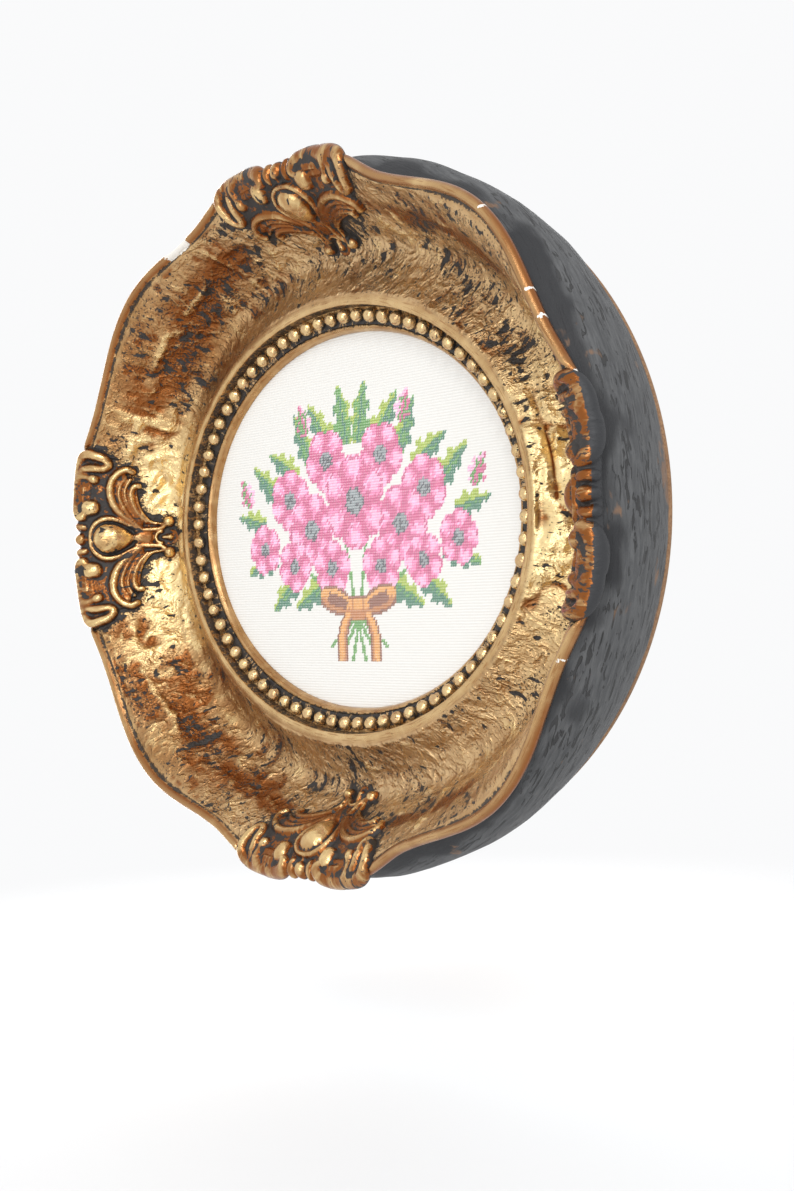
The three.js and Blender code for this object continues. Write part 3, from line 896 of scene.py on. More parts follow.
# %% Smooth, pale, outlined and chipped places of the face
SMALL_CHIPS = [(45.8, 0.3), (26.4, 0.35), (16.7, 0.3), (336.5, 0.35), (31.0, 0.25)]  # degrees, width
PALE_TURNS = (0, 45, 90, 135, 180, 225, 270, 315, 360)
PALE_SHARES = (0.35, 0.6, 1.0, 0.0, 0.35, 0.1, 1.0, 0.6, 0.35)
sleek = np.clip(1 - field - 0.6 * groove, 0, 1) * (1 - near)
pale = np.interp(degrees, PALE_TURNS, PALE_SHARES)
line = np.clip(groove + 0.6 * hump(v, face.at["fillet edge"], 0.7) + 0.8 * channel, 0, 1)
chip = large_chip
for place, wide in SMALL_CHIPS:
    chip = np.maximum(chip, 0.62 * hump(degrees, place, wide) * soft_step(v, 60.5, 61.5))
print(f"chips: one large and {len(SMALL_CHIPS)} small")

# %% [markdown]
# ### Closing the face
# A single sheet would do for a picture from the front, but it isn't a solid. So a second skin
# lies behind the first, with fewer rows because it doesn't show, and the two close into a ring.

# %% The gilt face
SHELL = 2.6  # how far behind the face its second skin lies
BACK_ROW_STEP = 6
outer = face.points(turn, lift)
inner_rows = np.arange(len(face.run))[::-BACK_ROW_STEP]
inner = face.points(turn, np.full_like(lift, -SHELL))[:, inner_rows]
grid = np.concatenate([outer, inner], axis=1)


def for_both_skins(values):
    """The numbers of the visible skin, and 0 for the skin behind it."""
    shown = np.broadcast_to(values, lift.shape)
    return np.concatenate([shown, np.zeros((FACE_COLUMNS, len(inner_rows)))], 1).ravel()


face_numbers = {
    "wax_and_shade": wax_and_shade,
    "worn_and_sheen": worn_and_sheen,
    "glaze": glaze,
    "sleek": sleek,
    "chip": chip,
    "line": line,
    "glow_zone": glow_zone,
    "pale": pale,
}
face_numbers = {name: for_both_skins(values) for name, values in face_numbers.items()}
runs = np.concatenate([face.run, face.run[inner_rows]])
face_numbers["along"] = along_moulding(t, runs[None]).reshape(-1, 3)
gilt_face = make_piece(
    "gilt_face", grid, ring_faces(FACE_COLUMNS, grid.shape[1]), gilding("face_gilding"), face_numbers
)

# %% [markdown]
# ## The four leaf ornaments
# The relief drawn above is laid on a bed that follows the scoop and runs over the rim. Only the
# cells that stand proud are kept, and a second skin under them closes the piece. The four are
# casts of one mould, so they share their cells, and each has its own wear and its own share of
# painted shade, the most on the right-hand one.

# %% The cells of an ornament
KEPT_HEIGHT = 0.35
BED_ROWS = [
    ("bed shoulder", 173.4, 56.4, 0.8, 0, 0.8),
    ("bed crest", 176.6, 57.6, 1, 0, 0.8),
    ("bed outside", 179.4, 56.6, 1, 0, 0.8),
    ("bed edge", 180.2, 54.0, 1, 0, 0.8),
    ("bed under", 179.0, 51.4, 1, 0, 0.8),
]
bed = Profile([row for row in FACE if row[1] < 170] + BED_ROWS, "ornament foot")

kept = relief > KEPT_HEIGHT
cells = kept[:-1, :-1] | kept[1:, :-1] | kept[1:, 1:] | kept[:-1, 1:]
used = np.zeros_like(kept)
for i, j in ((0, 0), (1, 0), (1, 1), (0, 1)):
    used[i : i + cells.shape[0], j : j + cells.shape[1]] |= cells
index = np.full(kept.shape, -1)
index[used] = np.arange(used.sum())
corners = [index[:-1, :-1], index[:-1, 1:], index[1:, 1:], index[1:, :-1]]
quads = np.stack([corner[cells] for corner in corners], -1)
ornament_faces = closed_faces(quads, used.sum())
print(f"ornament: {used.sum()} points kept of {used.size}")

# %% [markdown]
# ### Wear of the ornaments
# What stands above a blurred copy of the relief is rubbed bright, and what lies below it holds
# wax. This finds crests and crevices at any height, which a limit on the height alone can't.

# %% Proud and hollow places of an ornament
soft = blurred(np.maximum(relief, 0), 1.5 / GRID)
proud = np.clip((relief - soft) / 0.9, 0, 1)
crest = np.maximum(proud * 0.75, soft_step(relief, 2.9, 4.2) * 0.85)
sunk = np.clip((soft - relief) / 0.9 + (relief < 1.0) * 0.34, 0, 1)
crevice = np.clip((soft - relief - 0.15) / 0.55, 0, 1)
at_rim = np.broadcast_to(soft_step(up, 53, 60), relief.shape)
brown_sides = np.clip(0.18 + 0.22 * (relief < 2.4) + 0.3 * at_rim, 0, 1)
brown_sides = brown_sides * (1 - proud * (1 - 0.5 * at_rim))
print(f"rubbed bright: {(crest > 0.5).sum()} of {kept.sum()} places of an ornament")

# %% Leaf ornaments
SKIN = 1.6
# The stain column darkens each cast by its own share, as painted shade: most on the right.
ORNAMENTS = {  # node, which centre, swell of the scrolls in mm, stain, run where the paint starts
    "leaf_ornament_right": ("cartouche_right", 0, 1.2, 0.42, 59.2),
    "leaf_ornament_top": ("cartouche_top", 1, 0.0, 0.22, 60.6),
    "leaf_ornament_left": ("cartouche_left", 2, 0.0, 0.08, 60.6),
    "leaf_ornament_bottom": ("cartouche_bottom", 3, 0.0, 0.16, 60.6),
}


def leaf_ornament(name, place, swell, stain_and_shade, paint_from, material):
    """One cast of the relief, laid on the bed round its centre."""
    turns = turns_along(ORNAMENT_REACH, CENTRES[place], across)
    waver = lumps(across[:, None] / 60 + 3, up[None], 31, 9, 40 + place) * 0.12
    height = relief + np.where(relief > 0.3, waver, 0) + swell * hump(up, 51, 6.5)
    top = bed.points(turns, height, up)[used]
    under = bed.points(turns, np.full_like(height, -SKIN), up)[used]
    outside = np.broadcast_to(soft_step(up, paint_from, paint_from + 2.4), relief.shape)
    # stain_and_shade is painted shade on this cast: more wax, more brown and less rubbed gold.
    numbers = {
        "wax_and_shade": np.clip(sunk + 0.7 * stain_and_shade, 0, 1),
        "worn_and_sheen": crest * (1 - 1.4 * stain_and_shade) * (1 - 0.35 * at_rim) * (1 - outside),
        "glaze": brown_sides + stain_and_shade,
        "line": crevice,
        "painted": outside,
        "along": along_moulding(turns[:, None], up[None]),
    }
    numbers = {key: np.concatenate([values[used]] * 2) for key, values in numbers.items()}
    points = np.concatenate([top, under])
    return make_piece(name, points, ornament_faces, material, numbers, smooth=60)


ornament_gilding = gilding("ornament_gilding", wax=-0.02, glaze=0.24, grain=0.28)
leaf_ornaments = {
    name: leaf_ornament(name, *row, ornament_gilding) for name, (_, *row) in ORNAMENTS.items()
}

# %% [markdown]
# ## The run of beads
# Real bead moulding is one strip of balls pressed in a mould. So the balls and the strip between
# them are one piece here as well. The balls are even in size but not quite in line, and dark wax
# stays between and under them. Each ball is also painted darker on its back and its right side,
# as shade, and its front is bright, partly rubbed gold and partly a painted highlight.

# %% A ball and its places
BEAD_REACH, BEAD_RADIUS, BEAD_COUNT = 105.2, 3.75, 72
CHANNEL_FLOOR = 18.3
BALL_ROUND, BALL_OVER = 20, 11


def unit_ball():
    """Points and faces of a ball of radius 1, in rings from the front (-y) to the back."""
    over = np.linspace(0, math.pi, BALL_OVER)[1:-1]
    around = TAU * np.arange(BALL_ROUND) / BALL_ROUND
    rings = [
        np.outer(np.sin(over), np.cos(around)),
        -np.outer(np.cos(over), np.ones(BALL_ROUND)),
        np.outer(np.sin(over), np.sin(around)),
    ]
    points = np.vstack([np.stack(rings, -1).reshape(-1, 3), [(0, -1, 0), (0, 1, 0)]])
    faces = []
    for i in range(len(over) - 1):
        for j in range(BALL_ROUND):
            k = (j + 1) % BALL_ROUND
            ring, after = i * BALL_ROUND, (i + 1) * BALL_ROUND
            faces.append((ring + j, after + j, after + k, ring + k))
    last = (len(over) - 1) * BALL_ROUND
    front, back = last + BALL_ROUND, last + BALL_ROUND + 1
    faces += [(front, a, (a + 1) % BALL_ROUND) for a in range(BALL_ROUND)]
    faces += [(back, last + (a + 1) % BALL_ROUND, last + a) for a in range(BALL_ROUND)]
    return points, faces


def even_turns(reach, count, start):
    """Turns that cut an oval into equal lengths."""
    fine = np.linspace(0, TAU, 7201)
    run = run_round(reach, fine)
    return np.interp((np.arange(count) + start) / count * run[-1], run, fine)


bead_turns = even_turns(BEAD_REACH, BEAD_COUNT, 0.5)
bead_gap = np.linalg.norm(np.diff(oval(BEAD_REACH, bead_turns[:2], 0), axis=0))
print(f"beads every {bead_gap:.1f} mm, {2 * BEAD_RADIUS} mm across")

# %% The bead moulding
STRIP = [
    (100.7, CHANNEL_FLOOR),
    (100.7, 20.0),
    (102.6, 20.6),
    (105.0, 20.5),
    (107.4, 20.8),
    (109.2, 20.5),
    (109.2, CHANNEL_FLOOR),
]
STRIP_CUTS = 10  # columns of the strip for each ball
STRIP_HOLLOW, BEAD_PALE = 0.68, 0.8
PATTERN_SHIFT = (0, 40, 0)  # in mm, which keeps the balls off the pattern of the strip


def bead_strip(material):
    """The strip between the beads and all the balls, as one piece."""
    turns = even_turns(BEAD_REACH, BEAD_COUNT * STRIP_CUTS, 0)
    section = np.array(STRIP)
    uneven = lumps(turns[:, None], section[None, :, 0], 400, 2.2, 21) * 0.35
    uneven[:, [0, -1]] = 0
    points = [oval(section[:, 0], turns[:, None], section[:, 1] + uneven).reshape(-1, 3)]
    faces = [tuple(face) for face in ring_faces(len(turns), len(section)).tolist()]
    wax_and_shade = [np.full(len(points[0]), STRIP_HOLLOW)]
    along = [along_moulding(turns[:, None], section[None, :, 0]).reshape(-1, 3)]
    base = len(points[0])
    rng = np.random.default_rng(22)
    ball, ball_faces = unit_ball()
    # Painted shade with the wax: each ball darkens towards its back and towards its right side,
    # whatever its place on the oval.
    ball_wax_and_shade = np.clip(0.10 + ball[:, 1] * 0.72 + 0.2 * ball[:, 0], 0, 1) * 0.8
    for turn_here in bead_turns:
        size = BEAD_RADIUS * rng.uniform(0.95, 1.03)
        middle = oval(BEAD_REACH + rng.normal(0, 0.12), turn_here, CHANNEL_FLOOR + BEAD_RADIUS)
        points.append(middle + ball * size)
        faces += [tuple(base + corner for corner in face) for face in ball_faces]
        wax_and_shade.append(ball_wax_and_shade)
        along.append(points[-1] + PATTERN_SHIFT)
        base += len(ball)
    wax_and_shade = np.concatenate(wax_and_shade)
    numbers = {
        "wax_and_shade": wax_and_shade,
        # The front of each ball is bright: partly rubbed gold, partly a painted highlight.
        "worn_and_sheen": np.clip(0.62 - wax_and_shade * 1.7, 0, 1),
        "glaze": wax_and_shade * 0.2,
        "along": np.vstack(along),
        "pale": np.full(len(wax_and_shade), BEAD_PALE),
    }
    points, faces = np.vstack(points), np.array(faces, dtype=object)
    return make_piece("bead_moulding", points, faces, material, numbers, smooth=70)


bead_moulding = bead_strip(gilding("bead_gilding", wax=0.02, glaze=0.05, grain=0.3))

# %% [markdown]
# ## The painted side
# Behind the rim the wooden body bulges and then draws in towards the back. It was brushed with
# slate black paint along its length, so its streaks follow the oval, and it has rubbed brown at
# the back edge and where hands have held it. Just under the rim the paint is darker, as painted
# shade. It could be one piece with the face, but its paint and its sharp back edges ask for
# another profile, so it is a ring of its own that also closes the rebate behind the canvas.

# %% Profile of the side and back
SIDE = [  # name, reach, depth, swing, corner, step
    ("under rim", 178.0, 53.6, 1, 1, 1.4),
    ("rim underside", 176.6, 51.8, 0.9, 0, 1.4),
    ("undercut", 175.6, 49.0, 0.5, 0, 1.6),
    ("flank neck", 177.2, 45.8, 0.25, 0, 1.6),
    ("flank shoulder", 179.8, 41.6, 0.1, 0, 1.8),
    ("flank high", 181.6, 37.4, 0.03, 0, 1.8),
    ("flank crest", 182.3, 32.0, 0, 0, 1.8),
    ("flank low", 181.6, 25.0, 0, 0, 1.8),
    ("flank draw", 179.4, 16.6, 0, 0, 1.8),
    ("flank foot", 176.0, 8.6, 0, 0, 1.8),
    ("back edge", 172.7, 3.3, 0, 1, 24.0),
    ("rebate back", 102.0, 3.3, 0, 1, 12.0),
    ("rebate corner", 102.0, 15.5, 0, 1, 7.0),
    ("ledge edge", 97.8, 15.5, 0, 1, 4.0),
    ("core sight", 100.2, 16.2, 0, 1, 12.0),
    ("core lip", 112.0, 17.6, 0, 1, 12.0),
    ("core scoop", 134.0, 10.5, 0, 1, 12.0),
    ("core foot", 146.0, 13.0, 0, 1, 20.0),
    ("core wall", 168.0, 47.5, 0, 1, 9.0),
    ("core rim", 176.0, 54.0, 1, 1, 4.0),
]

# %% Slate paint
def slate_paint():
    """Slate black brushed lengthwise, slits left open, rubbed brown, and painted shade under the rim.
    """
    finish = Finish("slate_paint")
    along = finish.attribute("along", "Vector")
    place = finish.place()
    height_up = finish.attribute("rise")
    slanted = finish.node("VectorMath", {"operation": "ADD"}, {0: along, 1: finish.slant(along, 0.25)})
    brushed = finish.noise(finish.stretched(slanted, (0.16, 0.16, 1.0)), 0.55, 4.0, 0.62, 0.6)
    cuts = finish.noise(finish.stretched(slanted, (0.22, 0.22, 1.0)), 0.5, 2.0, 0.5, 0.8)
    cloud = finish.noise(along, 0.03, 2.0, 0.5)
    patch = finish.noise(along, 0.055, 3.0, 0.55, 0.4)
    fine = finish.noise(place, 1.8, 3.0, 0.6)
    # Painted shade: under the rim the paint is nearly black, and low is 1 only further back on the
    # flank.
    low = (1.0 - height_up + (cloud - 0.5) * 0.9).step(0.13, 0.27)
    light = brushed.step(0.22, 0.80)
    slate = finish.blend(light, seen(58, 59, 61), seen(90, 91, 92))
    paint = finish.blend(low, seen(33, 34, 37), slate)
    slit = (cuts - 0.585).step(0.0, 0.05) * low
    paint = finish.blend(slit * 0.8, paint, seen(36, 36, 36))
    edge = (1.0 - height_up).step(0.86, 1.0)
    rubbed = (patch + edge * 0.16 + cuts * 0.16 - 0.73).step(0.0, 0.07)
    paint = finish.blend(rubbed * 0.75, paint, seen(128, 96, 70))
    return finish.wear(
        base_color=paint,
        roughness=0.5 + fine * 0.25,
        normal=finish.bump(brushed * 0.8 - slit * 0.7 + fine * 0.12, 0.8, 0.9),
    )


# %% The painted body
side = Profile(SIDE, "back edge")
SIDE_COLUMNS = 640
side_turn = TAU * np.arange(SIDE_COLUMNS) / SIDE_COLUMNS
t, v = side_turn[:, None], side.run[None, :]
back_edge = side.at["back edge"]
print(f"side profile: {len(side.run)} rows")
flank = between(v, side.at["under rim"], side.at["flank neck"], back_edge - 2, back_edge)
side_lift = flank * (0.5 * lumps(t, v, 60, 16, 31) + 0.22 * lumps(t, v, 130, 4.5, 32))
side_points = side.points(side_turn, side_lift)
rise = np.clip(1 - (v - side.at["under rim"]) / (back_edge - side.at["under rim"]), 0, 1)
side_numbers = {
    "rise": np.broadcast_to(rise, side_lift.shape).ravel(),
    "along": along_moulding(t, v).reshape(-1, 3),
}
painted_body = make_piece(
    "painted_body", side_points, ring_faces(SIDE_COLUMNS, len(side.run)), slate_paint(), side_numbers
)

# %% [markdown]
# ## The backing board
# A thin pressed board closes the back, and its brown edge shows all round the side. A flat disc
# with square edges would look cut from card. The real corners are rubbed soft, so the rings of
# this one follow a small round at the edge.

# %% Backing board
BOARD_COLUMNS = 256
BOARD_EDGE = [(172.5, 0.7), (172.3, 0.2), (171.8, 0.0), (171.8, 3.0), (172.3, 2.8), (172.5, 2.3)]


def board_finish():
    """Brown fibres with cloudy stains and a few pale chips."""
    finish = Finish("pressed_board")
    place = finish.place()
    fibre = finish.noise(finish.place((0.35, 1.0, 1.0)), 0.9, 4.0, 0.65, 0.4)
    cloud = finish.noise(place, 0.06, 2.0, 0.5)
    chips = finish.noise(place, 0.5, 1.0, 0.5)
    brown = finish.blend(fibre.step(0.3, 0.7), seen(120, 88, 62), seen(160, 124, 90))
    brown = finish.blend((cloud - 0.3).step(0.1, 0.5) * 0.5, brown, seen(104, 78, 58))
    brown = finish.blend((chips - 0.79).step(0.0, 0.02), brown, seen(226, 218, 206))
    return finish.wear(
        base_color=brown, roughness=0.7 + fibre * 0.2, normal=finish.bump(fibre, 0.25, 0.6)
    )


def backing():
    """Rings from the middle of the front, over the edge, to the middle of the back."""
    turns = TAU * np.arange(BOARD_COLUMNS) / BOARD_COLUMNS
    front, back = BOARD_EDGE[3:], BOARD_EDGE[:3]
    rings = np.array([(20, 3.0), (100, 3.0), *front, *back, (100, 0.0), (20, 0.0)])
    points = oval(rings[:, 0], turns[:, None], rings[:, 1])
    rows = len(rings)
    closing = {0, rows - 1}
    faces = [
        face
        for face in ring_faces(BOARD_COLUMNS, rows).tolist()
        if {face[0] % rows, face[1] % rows} != closing
    ]
    faces.append([column * rows for column in range(BOARD_COLUMNS)])
    faces.append([column * rows + rows - 1 for column in range(BOARD_COLUMNS)][::-1])
    return make_piece("backing", points, np.array(faces, dtype=object), board_finish())


backing_piece = backing()

# %% [markdown]
# ## The canvas
# The cloth is an evenweave canvas with 18 threads to the inch, so a row is about 1.4 mm. It is
# stretched flat in the rebate, a little puckered by the wool. A weave could be all bump, but the
# rows are what the eye finds on it, so they are real ribs, four points to a row. Only the thin
# threads across them are a bump in the finish.

# %% Canvas
PITCH = 1.42
CANVAS_REACH = 101.7
CANVAS_FRONT, CANVAS_BACK = 15.2, 13.9
CANVAS_COLUMNS, CUTS_PER_ROW = 45, 4
RIB_HEIGHT, PUCKER = 0.13, 0.14


def canvas_finish():
    """Off-white wool, paler on the ribs with painted shade between them, and thin threads across them.
    """
    finish = Finish("ribbed_canvas")
    place = finish.place()
    shape = {"wave_type": "BANDS", "wave_profile": "SIN", "bands_direction": "X"}
    sockets = {"Vector": place, "Scale": TAU / PITCH / 20, "Distortion": 0.3, "Detail": 1.0}
    threads = finish.node("TexWave", shape, sockets)
    rib = finish.attribute("rib")
    slub = finish.noise(finish.place((0.15, 1.0, 1.0)), 0.9, 2.0, 0.5)
    cloud = finish.noise(place, 0.02, 2.0, 0.5)
    # Painted shade: the wool is darker in the valleys between the ribs and paler on their crests.
    wool = finish.blend(rib, seen(226, 224, 219), seen(240, 239, 236))
    wool = finish.blend(threads * 0.15, wool, seen(231, 229, 223))
    wool = finish.blend(cloud * 0.2, wool, seen(238, 235, 228))
    return finish.wear(
        base_color=wool,
        roughness=0.85 + slub * 0.1,
        normal=finish.bump(threads * 0.4 + slub * 0.5, 0.25, 0.6),
    )


def canvas_depth(x, z):
    """The front of the cloth at a place: flat but for slow puckers."""
    return CANVAS_FRONT + PUCKER * lumps(x / 60, z, 10, 34, 51)


def canvas():
    """A ribbed front and a plain back, each row as wide as the oval is there."""
    steps = np.arange(-CANVAS_REACH + 0.2, CANVAS_REACH - 0.2, PITCH / CUTS_PER_ROW)
    phase = np.cos(TAU * steps / PITCH)
    shares = np.linspace(-1, 1, CANVAS_COLUMNS)
    half = (CANVAS_REACH + STRETCH) * np.sqrt(np.clip(1 - (steps / CANVAS_REACH) ** 2, 0.0, 1))
    x = half[:, None] * shares
    z = np.broadcast_to(steps[:, None], x.shape)
    front = np.stack([x, -canvas_depth(x, z) - RIB_HEIGHT * phase[:, None], z], -1)
    back = np.stack([x, -canvas_depth(x, z) + (CANVAS_FRONT - CANVAS_BACK), z], -1)
    count, wide = x.shape
    i, j = np.meshgrid(np.arange(count - 1), np.arange(wide - 1), indexing="ij")
    corner = i * wide + j
    sheet = np.stack([corner, corner + 1, corner + wide + 1, corner + wide], -1).reshape(-1, 4)
    points = np.concatenate([front.reshape(-1, 3), back.reshape(-1, 3)])
    faces = closed_faces(sheet, count * wide)
    rib = np.broadcast_to(0.5 + 0.5 * phase[:, None], x.shape).ravel()
    numbers = {"rib": np.tile(rib, 2)}
    return make_piece("canvas", points, faces, canvas_finish(), numbers, smooth=60)


canvas_piece = canvas()

# %% [markdown]
# ## The stitched posy
# Needlepoint is one slanted stitch over each crossing of the canvas. So the design is worked
# out on the canvas grid, one yarn a crossing, and each stitch is a small plump lozenge of wool.
# The posy is an invented, mirrored one: round blossoms with grey hearts, leaves with a light
# and a dark half, and an ochre ribbon that ties the stems.

# %% Yarns
YARNS = {
    "pale pink": (250, 190, 220),
    "pink": (236, 146, 190),
    "rose": (212, 106, 152),
    "silver": (152, 162, 166),
    "charcoal": (92, 98, 106),
    "lime": (170, 192, 80),
    "leaf": (104, 164, 92),
    "sea": (72, 134, 112),
    "straw": (228, 172, 102),
    "ochre": (196, 132, 82),
    "brown": (146, 96, 78),
}
YARN_NAMES = list(YARNS)
BARE = -1
print(len(YARNS), "yarns")

# %% The chart, on the grid of the canvas, and how to dye it
CHART_HALF_WIDE, CHART_HALF_TALL = 74, 56
chart_x, chart_z = np.meshgrid(
    np.arange(-CHART_HALF_WIDE, CHART_HALF_WIDE + 1) * PITCH,
    np.arange(-CHART_HALF_TALL, CHART_HALF_TALL + 1) * PITCH,
    indexing="ij",
)
chart = np.full(chart_x.shape, BARE)
grit = np.random.default_rng(61).random(chart.shape)


def dye(mask, yarn):
    chart[mask] = YARN_NAMES.index(yarn)


# %% A leaf, a stalk, a blossom and a bud
def leaf(x, z, length, angle, wide=0.34, light="lime", dark="sea"):
    """A pointed leaf with notched edges, light above its vein and dark below."""
    a = math.radians(angle)
    along = (chart_x - x) * math.cos(a) + (chart_z - z) * math.sin(a)
    aside = (chart_z - z) * math.cos(a) - (chart_x - x) * math.sin(a)
    share = along / length
    half = wide * length * np.sqrt(np.clip(share, 0, 1)) * (1 - np.clip(share, 0, 1)) * 1.6
    half = half * (1 + 0.22 * np.sign(np.sin(share * 22 + 0.6)))
    inside = (np.abs(aside) < half) & (share > 0) & (share < 1)
    dye(inside, "leaf")
    dye(inside & (aside * math.cos(a) > half * 0.18 + grit * 2.0 - 1), light)
    dye(inside & (aside * math.cos(a) < -half * 0.25 + grit * 2.0 - 1), dark)
    dye(inside & (np.abs(aside) < 0.75) & (share < 0.8), dark)


def stalk(points):
    """A green line, one or two stitches wide, from point to point."""
    for (x0, z0), (x1, z1) in zip(points, points[1:]):
        a, b = np.array([x0, z0]), np.array([x1 - x0, z1 - z0])
        place = np.stack([chart_x, chart_z], -1) - a
        share = np.clip(place @ b / (b @ b), 0, 1)
        gap = np.linalg.norm(place - share[..., None] * b, axis=-1)
        dye(gap < 1.1, "leaf")


def blossom(x, z, radius, petals, start):
    """A round open flower: petals with pale hearts, rose folds between them, a grey middle."""
    dx, dz = chart_x - x, chart_z - z
    away = np.hypot(dx, dz) / radius
    angle = np.arctan2(dz, dx) - math.radians(start)
    petal = np.abs((angle / TAU * petals) % 1 - 0.5) * 2
    edge = 0.80 + 0.20 * np.sqrt(np.clip(1 - petal**2, 0, 1))
    inside = away < edge
    dye(inside, "pink")
    dye(inside & (petal > 0.80 - 0.25 * grit) & (away < 0.86), "rose")
    dye(inside & (away < 0.44 + 0.14 * grit), "rose")
    dye(inside & (petal < 0.50 - 0.2 * grit) & (away > 0.42 + 0.15 * grit), "pale pink")
    dye(inside & (petal < 0.16 + 0.1 * grit) & (away > 0.3) & (away < 0.62), "pink")
    dye(inside & (away > edge - 0.10) & (grit > 0.45), "rose")
    dye(away < 0.27, "silver")
    dye((away < 0.31) & (grit > 0.62), "charcoal")


def bud(x, z, radius, angle):
    """A plump leaf in pink yarns, whose middle is at x, z."""
    a = math.radians(angle)
    foot = (x - radius * math.cos(a), z - radius * math.sin(a))
    leaf(*foot, radius * 3.0, angle, 0.5, "pale pink", "rose")


# %% Leaves, stalks, buds and blossoms, with the back ones first
LEAVES = [  # x, z, length, angle; each is mirrored
    (4, 40, 34, 78), (16, 38, 34, 52), (34, 32, 32, 62), (46, 26, 30, 30), (62, 14, 32, 40),
    (76, 2, 26, 12), (66, -16, 30, -18), (48, -26, 32, -40), (26, -32, 30, -26),
]
STALKS = [  # x, z from the flower down through the tie; each is mirrored
    ((30, -20), (3, -46), (-13, -69)),
    ((58, -16), (8, -44), (-22, -65)),
    ((8, -10), (2, -46), (-5, -72)),
]
BLOSSOMS = [  # x, z, radius, petals, start; mirrored unless x is 0
    (22, 33, 17, 5, 20), (54, 14, 17, 6, 5), (78, -12, 14, 5, 40),
    (36, -3, 20, 6, 15), (52, -22, 14, 5, 10), (20, -24, 15, 5, 60), (0, 10, 25, 6, 0),
]
BUDS = [(92, 18, 6, 60), (40, 54, 6, 70)]  # x, z, radius, angle; each is mirrored
TIE_DOWN = 46  # the knot lies this far below the middle


def mirrored(sign, angle):
    return angle if sign > 0 else 180 - angle


for sign in (1, -1):
    for x, z, length, angle in LEAVES:
        leaf(sign * x, z, length, mirrored(sign, angle))
    for path in STALKS:
        stalk([(sign * x, z) for x, z in path])
    for x, z, radius, angle in BUDS:
        bud(sign * x, z, radius, mirrored(sign, angle))
for x, z, radius, petals, start in BLOSSOMS:
    for sign in (1,) if x == 0 else (1, -1):
        blossom(sign * x, z, radius, petals, mirrored(sign, start))

# %% The ribbon and its knot
LOOP_LENGTH, LOOP_HALF_WIDTH = 32, 10.5


def ribbon_loop(sign):
    """One loop and one tail of the bow, to the right for 1 and to the left for -1."""
    x, z = sign * chart_x, chart_z + TIE_DOWN
    lean = x * 0.96 + z * 0.26
    rise = z * 0.96 - x * 0.26
    share = np.clip(lean / LOOP_LENGTH, 0, 1)
    half = LOOP_HALF_WIDTH * np.sqrt(share) * np.sqrt(1 - share**3)
    inside = (np.abs(rise) < half) & (lean > 0) & (lean < LOOP_LENGTH)
    dye(inside, "straw")
    dye(inside & (rise < -half * 0.25 + 3 * (grit - 0.5)), "ochre")
    dye(inside & (np.abs(rise) < half * 0.42) & (lean > 9) & (lean < 25), "brown")
    dye(inside & (np.abs(rise) > half - 1.5), "brown")
    off_tail = x - 7 + (z + 4) * 0.42 + 2.4 * np.sin(z / 6)
    tail = (np.abs(off_tail) < 4.2) & (z < -2) & (z > -27)
    dye(tail, "straw")
    dye(tail & (off_tail < -1.2), "ochre")
    dye(tail & (np.abs(np.abs(off_tail) - 3.6) < 0.8), "brown")


ribbon_loop(1)
ribbon_loop(-1)
aside, above = np.abs(chart_x), chart_z + TIE_DOWN
knot = (aside < 5.5) & (np.abs(above) < 6.5)
dye(knot, "ochre")
dye(knot & (aside < 3) & (above > 0), "straw")
dye(knot & ((aside > 4.6) | (np.abs(above) > 5.6)), "brown")
print("stitches:", int((chart != BARE).sum()))

# %% [markdown]
# ### The stitches
# A bump could only shade the wool, and its edge would stay a printed line. So each stitch is a
# small mesh: fourteen points in five rings, which lean 47 degrees and swell in the middle. Numpy
# makes all of them at once, and the colour of its yarn is a number on the points of each.

# %% Stitches
STITCH_LONG, STITCH_WIDE, STITCH_HIGH = 2.25, 1.36, 0.55
STITCH_ROWS = [(0.0, 0.0), (0.2, 0.85), (0.5, 1.0), (0.8, 0.85), (1.0, 0.0)]


def yarn_finish():
    """The colour of each yarn, a little faded where its plies part."""
    finish = Finish("stitched_wool")
    colour = finish.attribute("yarn", "Vector")
    ply = finish.noise(finish.place(), 2.2, 2.0, 0.6)
    faded = finish.blend(0.08 + ply * 0.12, colour, seen(240, 232, 226))
    return finish.wear(
        base_color=faded,
        roughness=0.8 + ply * 0.15,
        normal=finish.bump(ply, 0.12, 0.6),
    )


